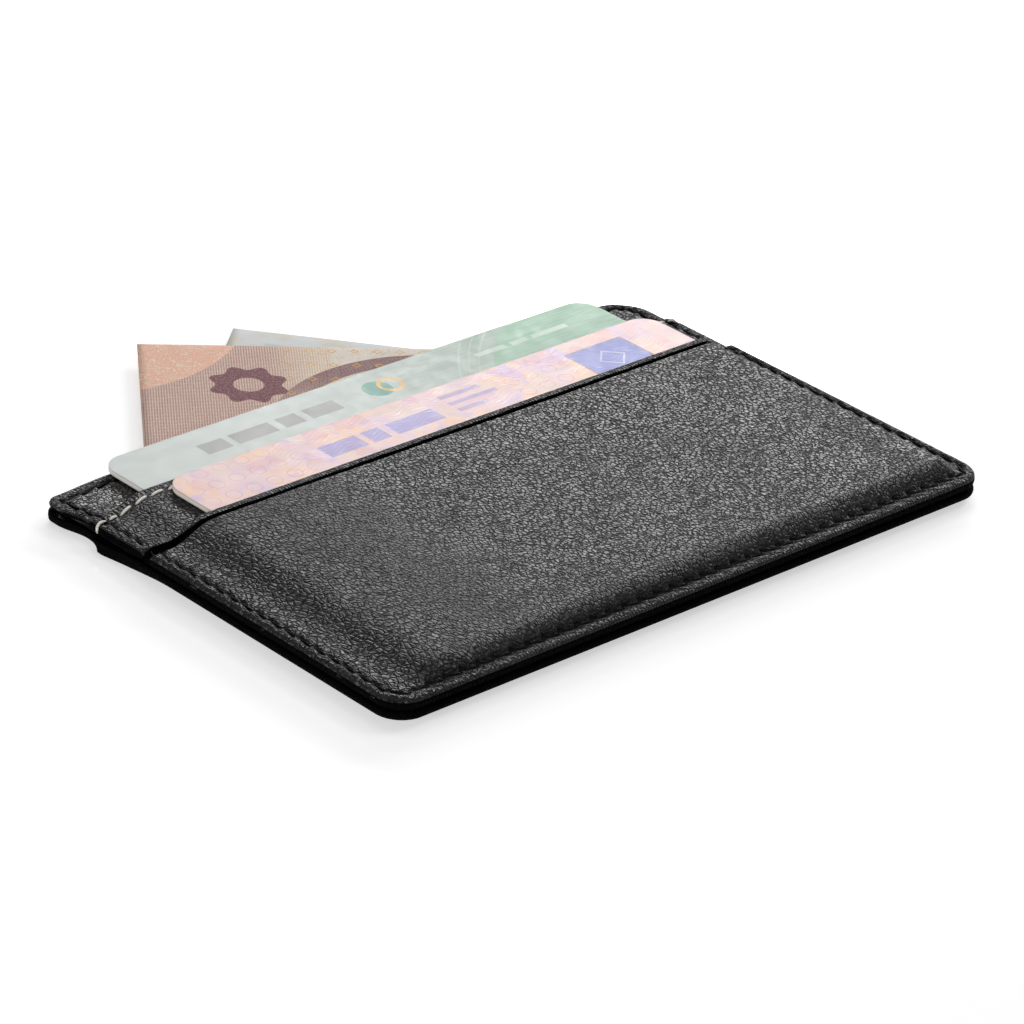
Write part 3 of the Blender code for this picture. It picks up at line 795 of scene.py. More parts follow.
def place_lip(u, turn):
    west = near_left(u, 11 * mm, 10 * mm)
    tip = max(ease((1.4 * mm - u + left) / (1.4 * mm)), ease((2.2 * mm - right + u) / (2.2 * mm)))
    base = face_height(u, lip_middle) - 0.40 * mm * tip
    width = (0.52 - 0.10 * west) * mm * (1 - 0.3 * tip)
    top = base + (0.08 + 0.26 * west) * mm
    bottom = base - 0.34 * mm
    side, up = flat_round(-cos(turn)), flat_round(sin(turn))
    y = lip_middle + (0.10 + 0.28 * west) * mm + side * width - face_bow(u)
    z = (top + bottom) / 2 + up * (top - bottom) / 2 + 0.02 * mm * wobble(u, turn * mm, 2 * mm)
    # Painted shade: the lower part of the lip's near side is marked to be drawn black.
    near = ease((0.10 - up) / 0.4) if side < 0 else 0.0
    return (u, y, z), u, 50 * mm, u, ease((up + 0.2) / 0.6), near


turns = [2 * pi * step / 20 for step in range(21)]
lip_end = right - 0.35 * mm
bm = lay_grid(steps(left + 0.2 * mm, lip_end, 0.3 * mm) + [lip_end], turns, place_lip)
bmesh.ops.remove_doubles(bm, verts=bm.verts[:], dist=0.001 * mm)
bmesh.ops.holes_fill(bm, edges=[edge for edge in bm.edges if edge.is_boundary])
bmesh.ops.recalc_face_normals(bm, faces=bm.faces[:])
# The lip's near side and its underside get the painted shade.
paint_wall_shade(bm, lambda normal: normal.y < -0.75 or normal.z < -0.2)
link_piece(bm, "pocket_lip", "holder", "lower_pocket_lip",
           [black_leather, painted_shade_leather])

# %% [markdown]
# ## Upper pocket
#
# The next skin shows as a strip between the lip and its own mouth. Its hem is turned in, which
# makes the edge a soft ribbed roll above the row of pale stitches.

# %% Upper pocket
middle_outline = Outline(0.35 * mm)
middle_bend = 0.32 * mm
hem_row = middle_mouth - 1.7 * mm
hem_pitch = 2.8 * mm


def hem_relief(x, y):
    """The hollow of the pale stitches and the roll of the hem behind it."""
    row = hump(y, hem_row, 0.42 * mm)
    roll = hump(y, hem_row + 0.95 * mm, 0.55 * mm)
    rounding = ease((y - middle_mouth + 0.45 * mm) / (0.45 * mm))
    return (0.08 * roll - (0.10 + 0.16 * pulled_hole(x)) * row - 0.12 * rounding) * mm


def place_middle(u, v):
    x, y, z, reach, run = middle_outline.lay(
        u, v, lambda x, y: middle_height(x, y) + hem_relief(x, y), front_under, middle_bend)
    z += seam_relief(reach + 0.35 * mm, run, 0.20 * mm) * ease(reach / (0.5 * mm))
    y -= hang(x, v, middle_mouth)
    hem = ease((v - hem_row - 0.2 * mm) / (0.3 * mm))
    ribs = max(1.5 * hem, 0.5 * ease((0.4 * mm - reach) / (0.5 * mm)))
    return (x, y, z), run, reach + 0.35 * mm, (0.68 * x if hem > 0.5 else run), ribs, 0.0


length = fold_length(middle_top, front_under, middle_bend, 0.3 * mm)
columns, rows = grid_lines(middle_outline, length, middle_bend, 0.45 * mm, middle_mouth, 0.6 * mm)
rows += (steps(middle_outline.south + fine_border, face_mouth - 1 * mm, 2.5 * mm)
         + steps(face_mouth - 1 * mm, hem_row - 1 * mm, 0.5 * mm)
         + steps(hem_row - 1 * mm, middle_mouth, 0.15 * mm) + [middle_mouth])
bm = lay_grid(columns, rows, place_middle)
link_skin(bm, "pocket_middle", "upper_pocket_panel", lambda normal: normal.z < 0.30)

# %% [markdown]
# ## The two covers
#
# The skin under both pockets shows in the corners at the open edge, sewn all round. The back half
# has the same skin turned over, so the same rule lays it down with its heights counted downwards.

# %% Front cover
cover_outline = Outline(0.60 * mm, open_edge, (1.6 * mm, 4.4 * mm))
cover_bend = 0.24 * mm


def spread(x, y):
    """Beside the open edge the covers stand out a little past the pockets."""
    near = ease((y - middle_mouth + 1.0 * mm) / (5 * mm))
    return -0.95 * mm * near * near_left(x, 12 * mm, 11 * mm)


def cover_height(x, y):
    """The cover hollows a little towards the card, and its free left corner curls up."""
    corner_share = ease((5 * mm - x + left) / (4 * mm)) * ease((y - middle_mouth + 2 * mm) / (5 * mm))
    hollow = ease((x - left - 3 * mm) / (7 * mm)) * ease((right - 3 * mm - x) / (7 * mm))
    return cover_top + 0.16 * mm * corner_share - 0.24 * mm * hollow


def place_cover(u, v):
    x, y, z, reach, run = cover_outline.lay(u, v, cover_height, front_under + 0.06 * mm,
                                            cover_bend)
    if cover_outline.by_open_edge(u, v):
        run = u - left
    row = reach + (0.1 + 0.1 * ease((y - open_edge + 5 * mm) / (2.5 * mm))) * mm
    z += seam_relief(row, run, 0.36 * mm) * ease(reach / (0.5 * mm))
    y -= hang(x, v, open_edge)
    x += spread(x, y)
    ribs = 1.1 * ease((1.6 * mm - reach) / (0.5 * mm))
    return (x, y, z), run, row, 0.8 * run, ribs, 0.0


length = fold_length(cover_top, front_under, cover_bend, 0.4 * mm)
columns, rows = grid_lines(cover_outline, length, cover_bend, 0.5 * mm)
hidden_from, hidden_to = cover_outline.south + fine_border, middle_mouth - 3 * mm
rows = ([row for row in rows if row <= hidden_from] + steps(hidden_from, hidden_to, 3 * mm)[1:]
        + [row for row in rows if row >= hidden_to])
bm = lay_grid(columns, rows, place_cover)
link_skin(bm, "front_half_cover", "front_cover", lambda normal: normal.z < 0.30)

# %% Back cover and back pocket
pocket_low, pocket_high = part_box("back_pocket_panel")
back_mouth = pocket_high.y
back_low, back_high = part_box("back_cover")


def rise(x, y):
    """The back half comes up to meet the front half where the two are sewn, and hangs again
    towards the open edge."""
    side = min(x - left, right - x, y - closed)
    fall = ease((y - back_mouth + 18 * mm) / (12 * mm))
    return 0.85 * mm * ease((5.2 * mm - side) / (2.6 * mm)) * (1 - fall)


def place_back(outline, under, bend, u, v, row_offset):
    """A skin of the back half: laid with its heights counted downwards, then turned over."""
    x, y, z, reach, run = outline.lay(u, v, lambda x, y: -under - rise(x, y), -back_over, bend)
    if outline.by_open_edge(u, v):
        run = u - left
    row = reach + row_offset
    run += 0.4 * stitch_pitch
    z = -z - min(seam_relief(row, run, 0.22 * mm), 0.0) * ease(reach / (0.5 * mm))
    return x, y, z, run, row, 0.5 * ease((1.0 * mm - reach) / (0.5 * mm))


back_outline = Outline(0.35 * mm, open_edge, (1.8 * mm, 4.4 * mm))
length = fold_length(-0.85 * mm - back_low.z, -back_high.z, 0.30 * mm, 0.4 * mm)


def place_back_cover(u, v):
    x, y, z, run, row, ribs = place_back(back_outline, back_low.z, 0.30 * mm, u, v, 0.35 * mm)
    y -= hang(x, v, open_edge)
    return (x + spread(x, y), y, z), run, row, run, ribs, 0.0


columns, rows = grid_lines(back_outline, length, 0.30 * mm, 0.6 * mm)
bm = lay_grid(columns, rows, place_back_cover, upside_down=True)
link_skin(bm, "back_half_cover", "back_cover", lambda normal: normal.z > -0.30)

pocket_outline = Outline(0.0)


def place_back_pocket(u, v):
    x, y, z, run, row, ribs = place_back(pocket_outline, pocket_low.z, 0.32 * mm, u, v, 0.0)
    flare = (ease((v - back_mouth + 9 * mm) / (9 * mm))
             * ease((9 * mm - min(x - left, right - x)) / (9 * mm)))
    x += (-0.7 if x < 0 else 0.3) * mm * flare
    round_off = (ease((v - back_mouth + 2.2 * mm) / (2.2 * mm))
                 * ease((3 * mm - min(x - left, right - x)) / (3 * mm)))
    low_part = ease((1.3 * mm - z) / (0.9 * mm))
    x += (1 if x < 0 else -1) * (0.3 + 0.8 * low_part) * mm * round_off
    y -= hang(x, v, back_mouth) + 1.2 * mm * flare
    z += (0.08 + 0.12 * pulled_hole(x)) * mm * hump(v, back_mouth - 2.1 * mm, 0.4 * mm)
    hem = ease((v - back_mouth + 1.8 * mm) / (0.3 * mm))
    return (x, y, z), run, row, (x if hem > 0.5 else run), max(ribs, 0.9 * hem), 0.0


length = fold_length(-0.85 * mm, -back_over, 0.32 * mm, 0.4 * mm)
columns, rows = grid_lines(pocket_outline, length, 0.32 * mm, 0.6 * mm, back_mouth)
rows += (steps(closed + fine_border, back_mouth - 3 * mm, 0.6 * mm)
         + steps(back_mouth - 3 * mm, back_mouth, 0.2 * mm) + [back_mouth])
bm = lay_grid(columns, rows, place_back_pocket, upside_down=True)
link_skin(bm, "back_pocket", "back_pocket_panel", lambda normal: normal.z > -0.30)

# %% [markdown]
# ## Linings
#
# Thin grey cloth is glued behind each pocket and inside both halves, and only its cut edge shows.
# It needs no cloth simulation, as it lies flat on the leather: it is the same grid once more, held
# a hair away from the skin.

# %% Lining cloth
grey_lining, tree, shader = new_material("grey_lining")
place = in_millimetres(tree)
x, y, _ = split(place)
weave = sine((x + y * 1.6) * (2 * pi / 0.36)) * 0.25 + cloudy(place, 3.0, 3.0)
dress(shader, mix_colour(weave, rgb(88, 88, 90), rgb(116, 116, 118)),
      span(weave, 0.0, 1.0, 0.9, 0.75), weave, 0.03 * mm)


def add_lining(name, node, height, set_back=0.0):
    """A flat cut of cloth behind a skin: height tells where its upper face lies."""
    low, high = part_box(node)
    outline = Outline(low.x - left)
    mouth = high.y - set_back

    def place_lining(u, v):
        x, y, z, reach, run = outline.lay(u, v, height, 0.0, -1.0)
        return (x, y - hang(x, v, mouth), z), run, reach, run, 0.0, 0.0

    side = steps(0.0, 5.2 * mm, 0.6 * mm)
    columns = ([outline.west + line for line in side]
               + steps(outline.west + 5.2 * mm, outline.east - 5.2 * mm, 1.2 * mm)
               + [outline.east - 5.2 * mm] + [outline.east - line for line in reversed(side)])
    rows = ([outline.south + line for line in side]
            + steps(outline.south + 5.2 * mm, mouth, 1.0 * mm) + [mouth])
    bm = lay_grid(columns, rows, place_lining)
    piece = link_piece(bm, name, "holder", node, [grey_lining], cloth)


front_lining_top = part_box("front_lining")[1].z
back_lining_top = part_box("back_lining")[0].z + cloth
add_lining("front_half_lining", "front_lining", lambda x, y: front_lining_top)
add_lining("back_half_lining", "back_lining", lambda x, y: back_lining_top + rise(x, y))
add_lining("middle_pocket_lining", "upper_pocket_lining",
           lambda x, y: middle_height(x, y) - leather - slack)
add_lining("face_pocket_lining", "lower_pocket_lining",
           lambda x, y: face_height(x, y) - leather - slack, 3.2 * mm)

# %% [markdown]
# ## Threads
#
# The real seam is a lockstitch: one stitch after the other dives into its hole. A single tube
# would look like a cord, so each stitch is a small rounded bead of thread of its own, bent from
# a sphere with few faces because there are hundreds of them.

# %% Thread materials
def thread_material(name, dark, light, shine):
    """Twisted thread: fine slanting strands run round each stitch."""
    material, tree, shader = new_material(name)
    along, around, _ = read_marks(tree, "trim")
    strand = span(sine(along * (2 * pi / 0.34) + around * (2 * pi * 2)), -1.0, 1.0)
    fuzz = cloudy(in_millimetres(tree), 4.0, 3.0)
    dress(shader, mix_colour(strand * (fuzz + 0.4), dark, light),
          span(fuzz, 0.2, 0.8, 0.6, 0.8), strand, 0.05 * mm, shine)
    return material


black_thread = thread_material("black_thread", rgb(3, 3, 3), rgb(12, 11, 12), 0.05)
cream_thread = thread_material("cream_thread", rgb(236, 230, 216), rgb(255, 252, 244), 0.4)


# %% One stitch
def add_stitch(bm, start, middle, end, width, depth):
    """A bead of thread bent from start over middle to end."""
    trim = bm.verts.layers.float_vector["trim"]
    made = bmesh.ops.create_uvsphere(bm, u_segments=8, v_segments=8, radius=1.0)
    for vert in made["verts"]:
        around = vert.co.to_2d()
        t = max(-1.0, min(1.0, vert.co.z * 1.06))
        fullness = (1 - t ** 4) ** 0.5
        around = around.normalized() if around.length > 1e-6 else around
        share = (t + 1) / 2
        centre = (start * (1 - share) ** 2 + middle * 2 * share * (1 - share)
                  + end * share ** 2)
        heading = ((middle - start) * (1 - share) + (end - middle) * share).normalized()
        side = heading.cross(Vector((0, 0, 1))).normalized()
        up = side.cross(heading)
        vert.co = (centre + side * around.x * width / 2 * fullness
                   + up * around.y * depth / 2 * fullness)
        turn = around.angle_signed(Vector((1, 0))) if around.length else 0.0
        vert[trim] = (share * (end - start).length / mm, turn / (2 * pi), 0.0)


def add_straight_stitch(bm, ends, lift, width, depth):
    """A stitch from one end to the other, with its middle lifted off the leather."""
    start, end = ends
    add_stitch(bm, start, (start + end) / 2 + Vector((0, 0, lift)), end, width, depth)


def thread_bmesh():
    bm = bmesh.new()
    bm.verts.layers.float_vector.new("trim")
    return bm


def row_point(run, inset):
    """A point of the edge row, counted from the left open corner round to the right one."""
    east = run > whole_run / 2
    back = whole_run - run if east else run
    if back < side_run:
        x, y = left + inset, open_edge - back
    elif back < side_run + turn_run:
        turn = (back - side_run) / turn_run * pi / 2
        arm = corner - inset
        x, y = left + corner - arm * cos(turn), closed + corner - arm * sin(turn)
    else:
        x, y = left + corner + back - side_run - turn_run, closed + inset
    return (left + right - x if east else x), y


print("thread rules ready")

# %% Edge row of the front half
def front_row_height(x, y):
    if y < face_mouth - face_bow(x) - 0.6 * mm:
        return face_height(x, y) + dents(x, y)
    return middle_top if y < middle_mouth - bow(x) - 0.1 * mm else cover_height(x, y)


def front_row_place(run):
    """A point of the row on whichever of the three skins shows there."""
    x, y = row_point(run, row_inset(run))
    inward = 1 if x < 0 else -1
    if y < face_mouth - face_bow(x):
        x, y = row_point(run, row_inset(run) - nearer_on_sides(run))
    elif y > middle_mouth - bow(x):
        x += inward * 0.5 * mm
        y -= hang(x, y, open_edge)
        x += spread(x, y)
    return x, y


stitch_ends = (-0.10, 0.93)
bm = thread_bmesh()
count = int((whole_run - 4.2 * mm) / stitch_pitch)
for index in range(1, count + 1):
    ends = []
    for share in stitch_ends:
        x, y = front_row_place((index + share) * stitch_pitch)
        ends.append(Vector((x, y, front_row_height(x, y) - 0.22 * mm)))
    lip_here = lip_middle - face_bow(ends[0].x)
    if abs(ends[0].z - ends[1].z) < 0.3 * mm and abs(ends[0].y - lip_here) > 2.2 * mm:
        add_straight_stitch(bm, ends, 0.20 * mm, 0.36 * mm, 0.24 * mm)
for index in range(1, int((right - left - 4 * mm) / stitch_pitch)):
    x = left + 2 * mm + index * stitch_pitch
    ends = [Vector((x + shift, open_edge - 1.70 * mm - 0.08 * mm * side - bow(x + shift),
                    cover_height(x + shift, open_edge) - 0.20 * mm))
            for shift, side in ((0.0, 1), (2.4 * mm, -1))]
    add_straight_stitch(bm, ends, 0.16 * mm, 0.36 * mm, 0.24 * mm)
link_piece(bm, "front_edge_stitches", "holder", "front_edge_thread",
           [black_thread])

# %% Edge row of the back half
def back_row_height(x, y):
    base = pocket_low.z if y < back_mouth - bow(x) else back_low.z
    return base + rise(x, y)


bm = thread_bmesh()
for index in range(1, count + 1):
    ends = []
    for share in stitch_ends:
        run = (index - 0.4) * stitch_pitch
        x, y = row_point(run + share * stitch_pitch,
                         row_inset(run + (share + 0.4) * stitch_pitch))
        ends.append(Vector((x, y, back_row_height(x, y) + 0.22 * mm)))
    add_straight_stitch(bm, ends, -0.12 * mm, 0.24 * mm, 0.20 * mm)
link_piece(bm, "back_edge_stitches", "holder", "back_edge_thread",
           [black_thread])

# %% Pale rows of the two hems
def hem_stitches(name, node, height, row_y, mouth, lift):
    """The pale row of a hem. At each side its last stitch goes over the edge of the half."""
    bm = thread_bmesh()
    sign = 1 if lift > 0 else -1
    half = int((right - 1.6 * mm) / hem_pitch)
    for index in range(-half, half):
        ends = []
        for share, skew in ((0.10, -0.16), (0.90, 0.16)):
            x = (index + share) * hem_pitch
            y = row_y - hang(x, row_y, mouth) + skew * mm
            ends.append(Vector((x, y, height(x, row_y) - sign * 0.08 * mm)))
        add_straight_stitch(bm, ends, lift, 0.46 * mm, 0.36 * mm)
    for side in (-1, 1):
        edge = (left if side < 0 else right) - side * 0.22 * mm
        x, start_x = side * (half * hem_pitch + 0.2 * mm), edge - side * 1.8 * mm
        y = row_y - hang(x, row_y, mouth)
        low_end = height(x, row_y) - sign * 0.08 * mm
        start = Vector((x, y + 0.1 * mm, low_end))
        end = Vector((start_x - side * 0.5 * mm, y - 0.1 * mm, low_end))
        add_straight_stitch(bm, (start, end), lift, 0.44 * mm, 0.34 * mm)
        start = Vector((start_x, y - 0.1 * mm, low_end))
        end = Vector((edge, y - 0.6 * mm, height(x, row_y) - sign * 1.15 * mm))
        over = Vector((edge - side * (0.25 + 0.45 * side) * mm, y - 0.3 * mm,
                       height(x, row_y) + sign * (0.36 - 0.14 * side) * mm))
        add_stitch(bm, start, over, end, 0.46 * mm, 0.34 * mm)
    link_piece(bm, name, "holder", node, [cream_thread])


hem_stitches("middle_hem_stitches", "upper_pocket_hem_thread", middle_height, hem_row,
             middle_mouth, 0.24 * mm)
hem_stitches("back_hem_stitches", "back_pocket_hem_thread",
             lambda x, y: pocket_low.z + rise(x, y), back_mouth - 2.1 * mm, back_mouth, -0.10 * mm)

# %% Floor seam of the upper pocket
floor_low, floor_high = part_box("upper_pocket_floor_thread")
bm = thread_bmesh()
x = floor_low.x
y, z = (floor_low.y + floor_high.y) / 2, floor_low.z + 0.08 * mm
while x + 2.5 * mm < floor_high.x:
    add_stitch(bm, Vector((x, y, z)), Vector((x + 1.2 * mm, y, z + 0.10 * mm)),
               Vector((x + 2.5 * mm, y, z)), 0.20 * mm, 0.16 * mm)
    x += stitch_pitch
link_piece(bm, "floor_stitches", "holder", "upper_pocket_floor_thread",
           [black_thread])

# %% [markdown]
# ## Prints
#
# Cards and notes are printed paper and plastic. The prints are drawn with maths in the material:
# a point of the surface is turned into millimetres from the card's own corner, and masks for
# bars, rings and stripes choose between the inks. All of it is plain ornament.

# %% Print helpers
def own_place(tree, corner_point, turn=0.0):
    """Millimetres from a piece's own corner, along its own sides: as a flat vector, and as u, v
    and the height."""
    coordinates = out(add(tree, "ShaderNodeTexCoord"), "Object")
    moved = Matrix.Rotation(-turn, 2) @ Vector(corner_point[:2])
    mapping = add(tree, "ShaderNodeMapping", {
        "Vector": coordinates, "Scale": (1000, 1000, 1000), "Rotation": (0, 0, -turn),
        "Location": (-moved.x / mm, -moved.y / mm, -corner_point[2] / mm)})
    u, v, z = split(out(mapping))
    return out(add(tree, "ShaderNodeCombineXYZ", {0: u, 1: v})), u, v, z


def bar_mask(u, v, start, end, low, high, soft=0.06):
    """1 inside a rectangle of the print."""
    inside = calc("MINIMUM", u - start, end - u)
    return span(calc("MINIMUM", inside, calc("MINIMUM", v - low, high - v)), -soft, soft)


def distance_to(flat, u, v):
    return vector_calc("DISTANCE", flat, (u, v, 0.0), "Value")


def line_mask(value, middle, near, far):
    """1 where a value is nearer than near to the middle of a line, 0 beyond far."""
    return span(abs(value - middle), near, far, 1.0, 0.0)


def ring_mask(flat, u, v, radius, width, soft=0.08):
    return line_mask(distance_to(flat, u, v), radius, width / 2 - soft, width / 2 + soft)


def paint(colour, mask, ink, strength=1.0):
    """Lays an ink over a print where its mask says."""
    return mix_colour(mask * strength, colour, ink)


def masks_together(masks):
    total = masks[0]
    for mask in masks[1:]:
        total = calc("MAXIMUM", total, mask)
    return total


def bars(u, v, places, low, high):
    """A row of bars, each given by its start and its length."""
    return masks_together([bar_mask(u, v, start, start + size, low, high)
                           for start, size in places])


print("print helpers ready")

# %% Peach and lilac card
def card_finish(shader, colour, z, core, relief):
    """Print on both faces, pale core on the edge with thin clear foils above and below."""
    half = 0.76 / 2
    upright = split(out(add(z.tree, "ShaderNodeNewGeometry"), "Normal"))[2]
    face = span(abs(upright), 0.55, 0.85)
    off = abs(z - half)
    line = span(off, half - 0.16, half - 0.12) * span(off, half - 0.10, half - 0.06, 1.0, 0.0)
    edge = mix_colour(line, core, rgb(176, 168, 160))
    scuff = cloudy(in_millimetres(z.tree), 0.5, 6.0, Roughness=0.7)
    dress(shader, mix_colour(face, edge, colour), span(scuff, 0.3, 0.7, 0.34, 0.48), relief,
          0.006 * mm, 0.28)


pink_card, tree, shader = new_material("pink_card")
flat, u, v, z = own_place(tree, licence_low)
patches = cloudy(flat, 0.20, 4.0, Distortion=0.8)
colour = mix_colour(span(cloudy(flat, 0.11, 3.0), 0.36, 0.60), rgb(252, 208, 180),
                    rgb(240, 208, 214))
colour = paint(colour, span(patches, 0.50, 0.66), rgb(222, 196, 226))
colour = paint(colour, span(patches, 0.30, 0.44, 1.0, 0.0), rgb(250, 214, 198), 0.8)
tiles = add(tree, "ShaderNodeTexVoronoi", {"Vector": flat, "Scale": 0.42, "Randomness": 0.35},
            distance="MANHATTAN")
tile_tone = add(tree, "ShaderNodeSeparateColor", {0: out(tiles, "Color")})
colour = paint(colour, span(out(tile_tone, 0), 0.72, 0.78), rgb(226, 168, 190), 0.35)
colour = paint(colour, span(out(tile_tone, 1), 0.72, 0.78), rgb(240, 218, 202), 0.5)
lines = sine((v + sine(u * (2 * pi / 7.0)) * 0.6) * (2 * pi / 0.7))
colour = paint(colour, span(lines, 0.4, 1.0), rgb(236, 186, 176), 0.22)
cell = vector_calc("MODULO", flat, (3.4, 3.4, 1.0))
rings = line_mask(distance_to(cell, 1.7, 1.7), 1.05, 0.04, 0.14)
ring_zone = masks_together([bar_mask(u, v, 2, 19, 40, 54, 1.5), bar_mask(u, v, 54, 66, 40, 54, 1.5)])
colour = paint(colour, rings * ring_zone, rgb(210, 140, 150), 0.35)
colour = paint(colour, bars(u, v, ((22, 6.4), (29.4, 3.0), (33.6, 8.2)), 46.4, 49.6),
               rgb(150, 148, 214), 0.80)
small = [bar_mask(u, v, 44.6, 44.6 + size, level, level + 0.9)
         for size, level in ((7.0, 50.6), (8.6, 48.6), (5.2, 46.6))]
colour = paint(colour, masks_together(small), rgb(160, 150, 206), 0.65)
colour = paint(colour, bar_mask(u, v, 67.2, 77.8, 42.7, 51.1), rgb(120, 112, 140), 0.8)
colour = paint(colour, bar_mask(u, v, 67.5, 77.5, 43.0, 50.8), rgb(132, 138, 208))
colour = paint(colour, line_mask(abs(u - 72.5) + abs(v - 46.9), 2.2, 0.12, 0.26),
               rgb(206, 206, 232), 0.9)
card_finish(shader, colour, z, rgb(244, 236, 226), lines)
print("pink card:", len(tree.nodes), "nodes")

# %% Grey-green card
green_card, tree, shader = new_material("green_card")
flat, u, v, z = own_place(tree, bank_low)
brushed = cloudy(vector_calc("MULTIPLY", flat, (0.10, 1.8, 1.0)), 1.6, 4.0)
sweep = u + v * -0.25
colour = mix_colour(span(sweep, 14.0, 54.0), rgb(202, 210, 206), rgb(142, 160, 148))
colour = mix_colour(span(sweep, 40.0, 74.0), colour, rgb(112, 160, 130))
arc = span(distance_to(flat, 92.0, 20.0), 39.8, 40.2, 1.0, 0.0)
deep = mix_colour(span(v, 40.0, 54.0), rgb(100, 152, 124), rgb(118, 174, 138))
colour = paint(colour, arc, deep, 0.9)
echo = masks_together([ring_mask(flat, 92.0, 20.0, radius, 0.25) for radius in (42.0, 43.4, 44.8)])
colour = paint(colour, echo, rgb(160, 190, 170), 0.6)
colour = mix_colour(span(brushed, 0.3, 0.7, 0.0, 0.15), colour, rgb(214, 220, 212))
disc = span(distance_to(flat, 43.5, 49.2), 2.1, 2.25, 1.0, 0.0)
colour = paint(colour, disc, rgb(90, 158, 142))
colour = paint(colour, ring_mask(flat, 45.8, 49.2, 1.7, 0.55), rgb(232, 184, 92))
colour = paint(colour, bars(u, v, ((13, 4.2), (18.2, 6.8), (26.2, 3.4), (30.8, 5.4)), 47.4, 50.2),
               rgb(158, 158, 154), 0.85)
colour = paint(colour, bars(u, v, ((61, 5.5), (67.5, 3.0), (71.4, 6.5)), 48.6, 49.6),
               rgb(198, 214, 202), 0.7)
card_finish(shader, colour, z, rgb(244, 242, 236), brushed)
print("green card:", len(tree.nodes), "nodes")

# %% [markdown]
# ## Cards
#
# A plastic card is a flat plate with round corners. It starts as one square face. Bevelling its
# four corner points rounds them, extruding gives the thickness, and a fine bevel breaks the rims.

# %% Cards
def add_card(name, node, body, material):
    low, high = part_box(node)
    size, middle = high - low, (low + high) / 2
    bm = bmesh.new()
    bmesh.ops.create_grid(bm, x_segments=1, y_segments=1, size=0.5)
    bmesh.ops.scale(bm, vec=(size.x, size.y, 1.0), verts=bm.verts[:])
    bmesh.ops.translate(bm, vec=(middle.x, middle.y, low.z), verts=bm.verts[:])
    bmesh.ops.bevel(bm, geom=bm.verts[:], offset=3.18 * mm, offset_type="OFFSET", segments=14,
                    profile=0.5, affect="VERTICES", material=-1)
    raised = bmesh.ops.extrude_face_region(bm, geom=bm.faces[:])["geom"]
    bmesh.ops.translate(bm, vec=(0, 0, size.z),
                        verts=[item for item in raised if isinstance(item, bmesh.types.BMVert)])
    bmesh.ops.recalc_face_normals(bm, faces=bm.faces[:])
    rims = [edge for edge in bm.edges if abs(edge.verts[0].co.z - edge.verts[1].co.z) < 1e-6]
    bmesh.ops.bevel(bm, geom=rims, offset=0.06 * mm, offset_type="OFFSET", segments=2,
                    profile=0.5, affect="EDGES", material=-1)
    piece = link_piece(bm, name, body, node, [material])
    piece.data.shade_flat()


add_card("front_card", "licence_card", "licence_card_body", pink_card)
add_card("middle_card", "bank_card", "bank_card_body", green_card)

# %% [markdown]
# ## Notes
#
# Each note is a sheet of printed paper folded in half twice, so it has four layers with soft
# folds. A slab would hide that. One long strip is laid through all four layers instead, round
# the outer and the inner fold, and Solidify makes it paper.

# %% Paper materials
def paper_material(name, corner_point, turn, draw):
    material, tree, shader = new_material(name)
    flat, u, v, _ = own_place(tree, corner_point, turn)
    fibres = cloudy(flat, 2.6, 5.0)
    colour, relief = draw(flat, u, v)
    colour = mix_colour(span(fibres, 0.35, 0.65, 0.0, 0.16), colour, rgb(232, 222, 208))
    dress(shader, colour, span(fibres, 0.3, 0.7, 0.72, 0.88), fibres * 0.4 + relief, 0.05 * mm,
          0.25)
    return material


def draw_salmon(flat, u, v):
    """Embossed salmon field, a curved field of stripes, and a pale field with small diamonds."""
    pressed = line_mask(cloudy(flat, 0.9, 2.0, Distortion=1.6), 0.5, 0.0, 0.06)
    salmon = mix_colour(pressed, rgb(246, 190, 164), rgb(255, 232, 212))
    dotted = sine(u * (2 * pi / 0.36)) + sine(v * (2 * pi / 0.42)) * 0.8
    striped = mix_colour(span(dotted, -0.5, 0.5), rgb(190, 142, 130), rgb(228, 206, 194))
    arc = distance_to(flat, -10.0, 42.0) - 24.7
    colour = mix_colour(span(arc, -0.1, 0.1), salmon, striped)
    pale = mix_colour(span(dotted, -0.4, 0.4), rgb(228, 198, 170), rgb(240, 228, 214))
    colour = mix_colour(span(u, 16.0, 25.0), colour, pale)
    colour = mix_colour(span(u, 25.8, 26.2), colour, rgb(236, 225, 212))
    from_rosette = distance_to(flat, 14.5, 21.5)
    around = calc("ARCTAN2", v - 21.5, u - 14.5)
    spread_out = from_rosette + calc("COSINE", around * 8.0) * 0.55
    rosette = span(spread_out, 4.9, 5.05, 1.0, 0.0) * span(from_rosette, 2.0, 2.15)
    fine = sine(spread_out * (2 * pi / 0.5))
    maroon = mix_colour(span(fine, -1.0, 1.0), rgb(116, 66, 78), rgb(138, 88, 98))
    colour = paint(colour, rosette, maroon)
    band = ring_mask(flat, 40.0, 8.0, 22.0, 3.0) * span(v, 9.0, 26.0)
    colour = paint(colour, band, maroon, 0.85)
    cell_u, cell_v, _ = split(vector_calc("MODULO", flat, (3.1, 4.3, 1.0)))
    outline = line_mask(abs(cell_u - 1.5) + abs(cell_v - 2.1), 0.55, 0.10, 0.2)
    colour = paint(colour, outline * span(u, 17.0, 21.0), rgb(232, 178, 92), 0.75)
    return colour, pressed * 0.9


def draw_blue(flat, u, v):
    """Pale grey-blue paper with soft broad bands and fine lines."""
    lines = sine((u + v) * (2 * pi / 0.6))
    colour = mix_colour(span(lines, 0.0, 1.0), rgb(228, 231, 232), rgb(216, 222, 225))
    colour = mix_colour(bar_mask(u, v, 5.0, 60.0, 4.0, 29.8, 0.1), colour, rgb(206, 216, 221))
    colour = mix_colour(span(cloudy(flat, 0.16, 3.0), 0.45, 0.60), colour, rgb(222, 218, 206))
    return colour, lines * 0.1


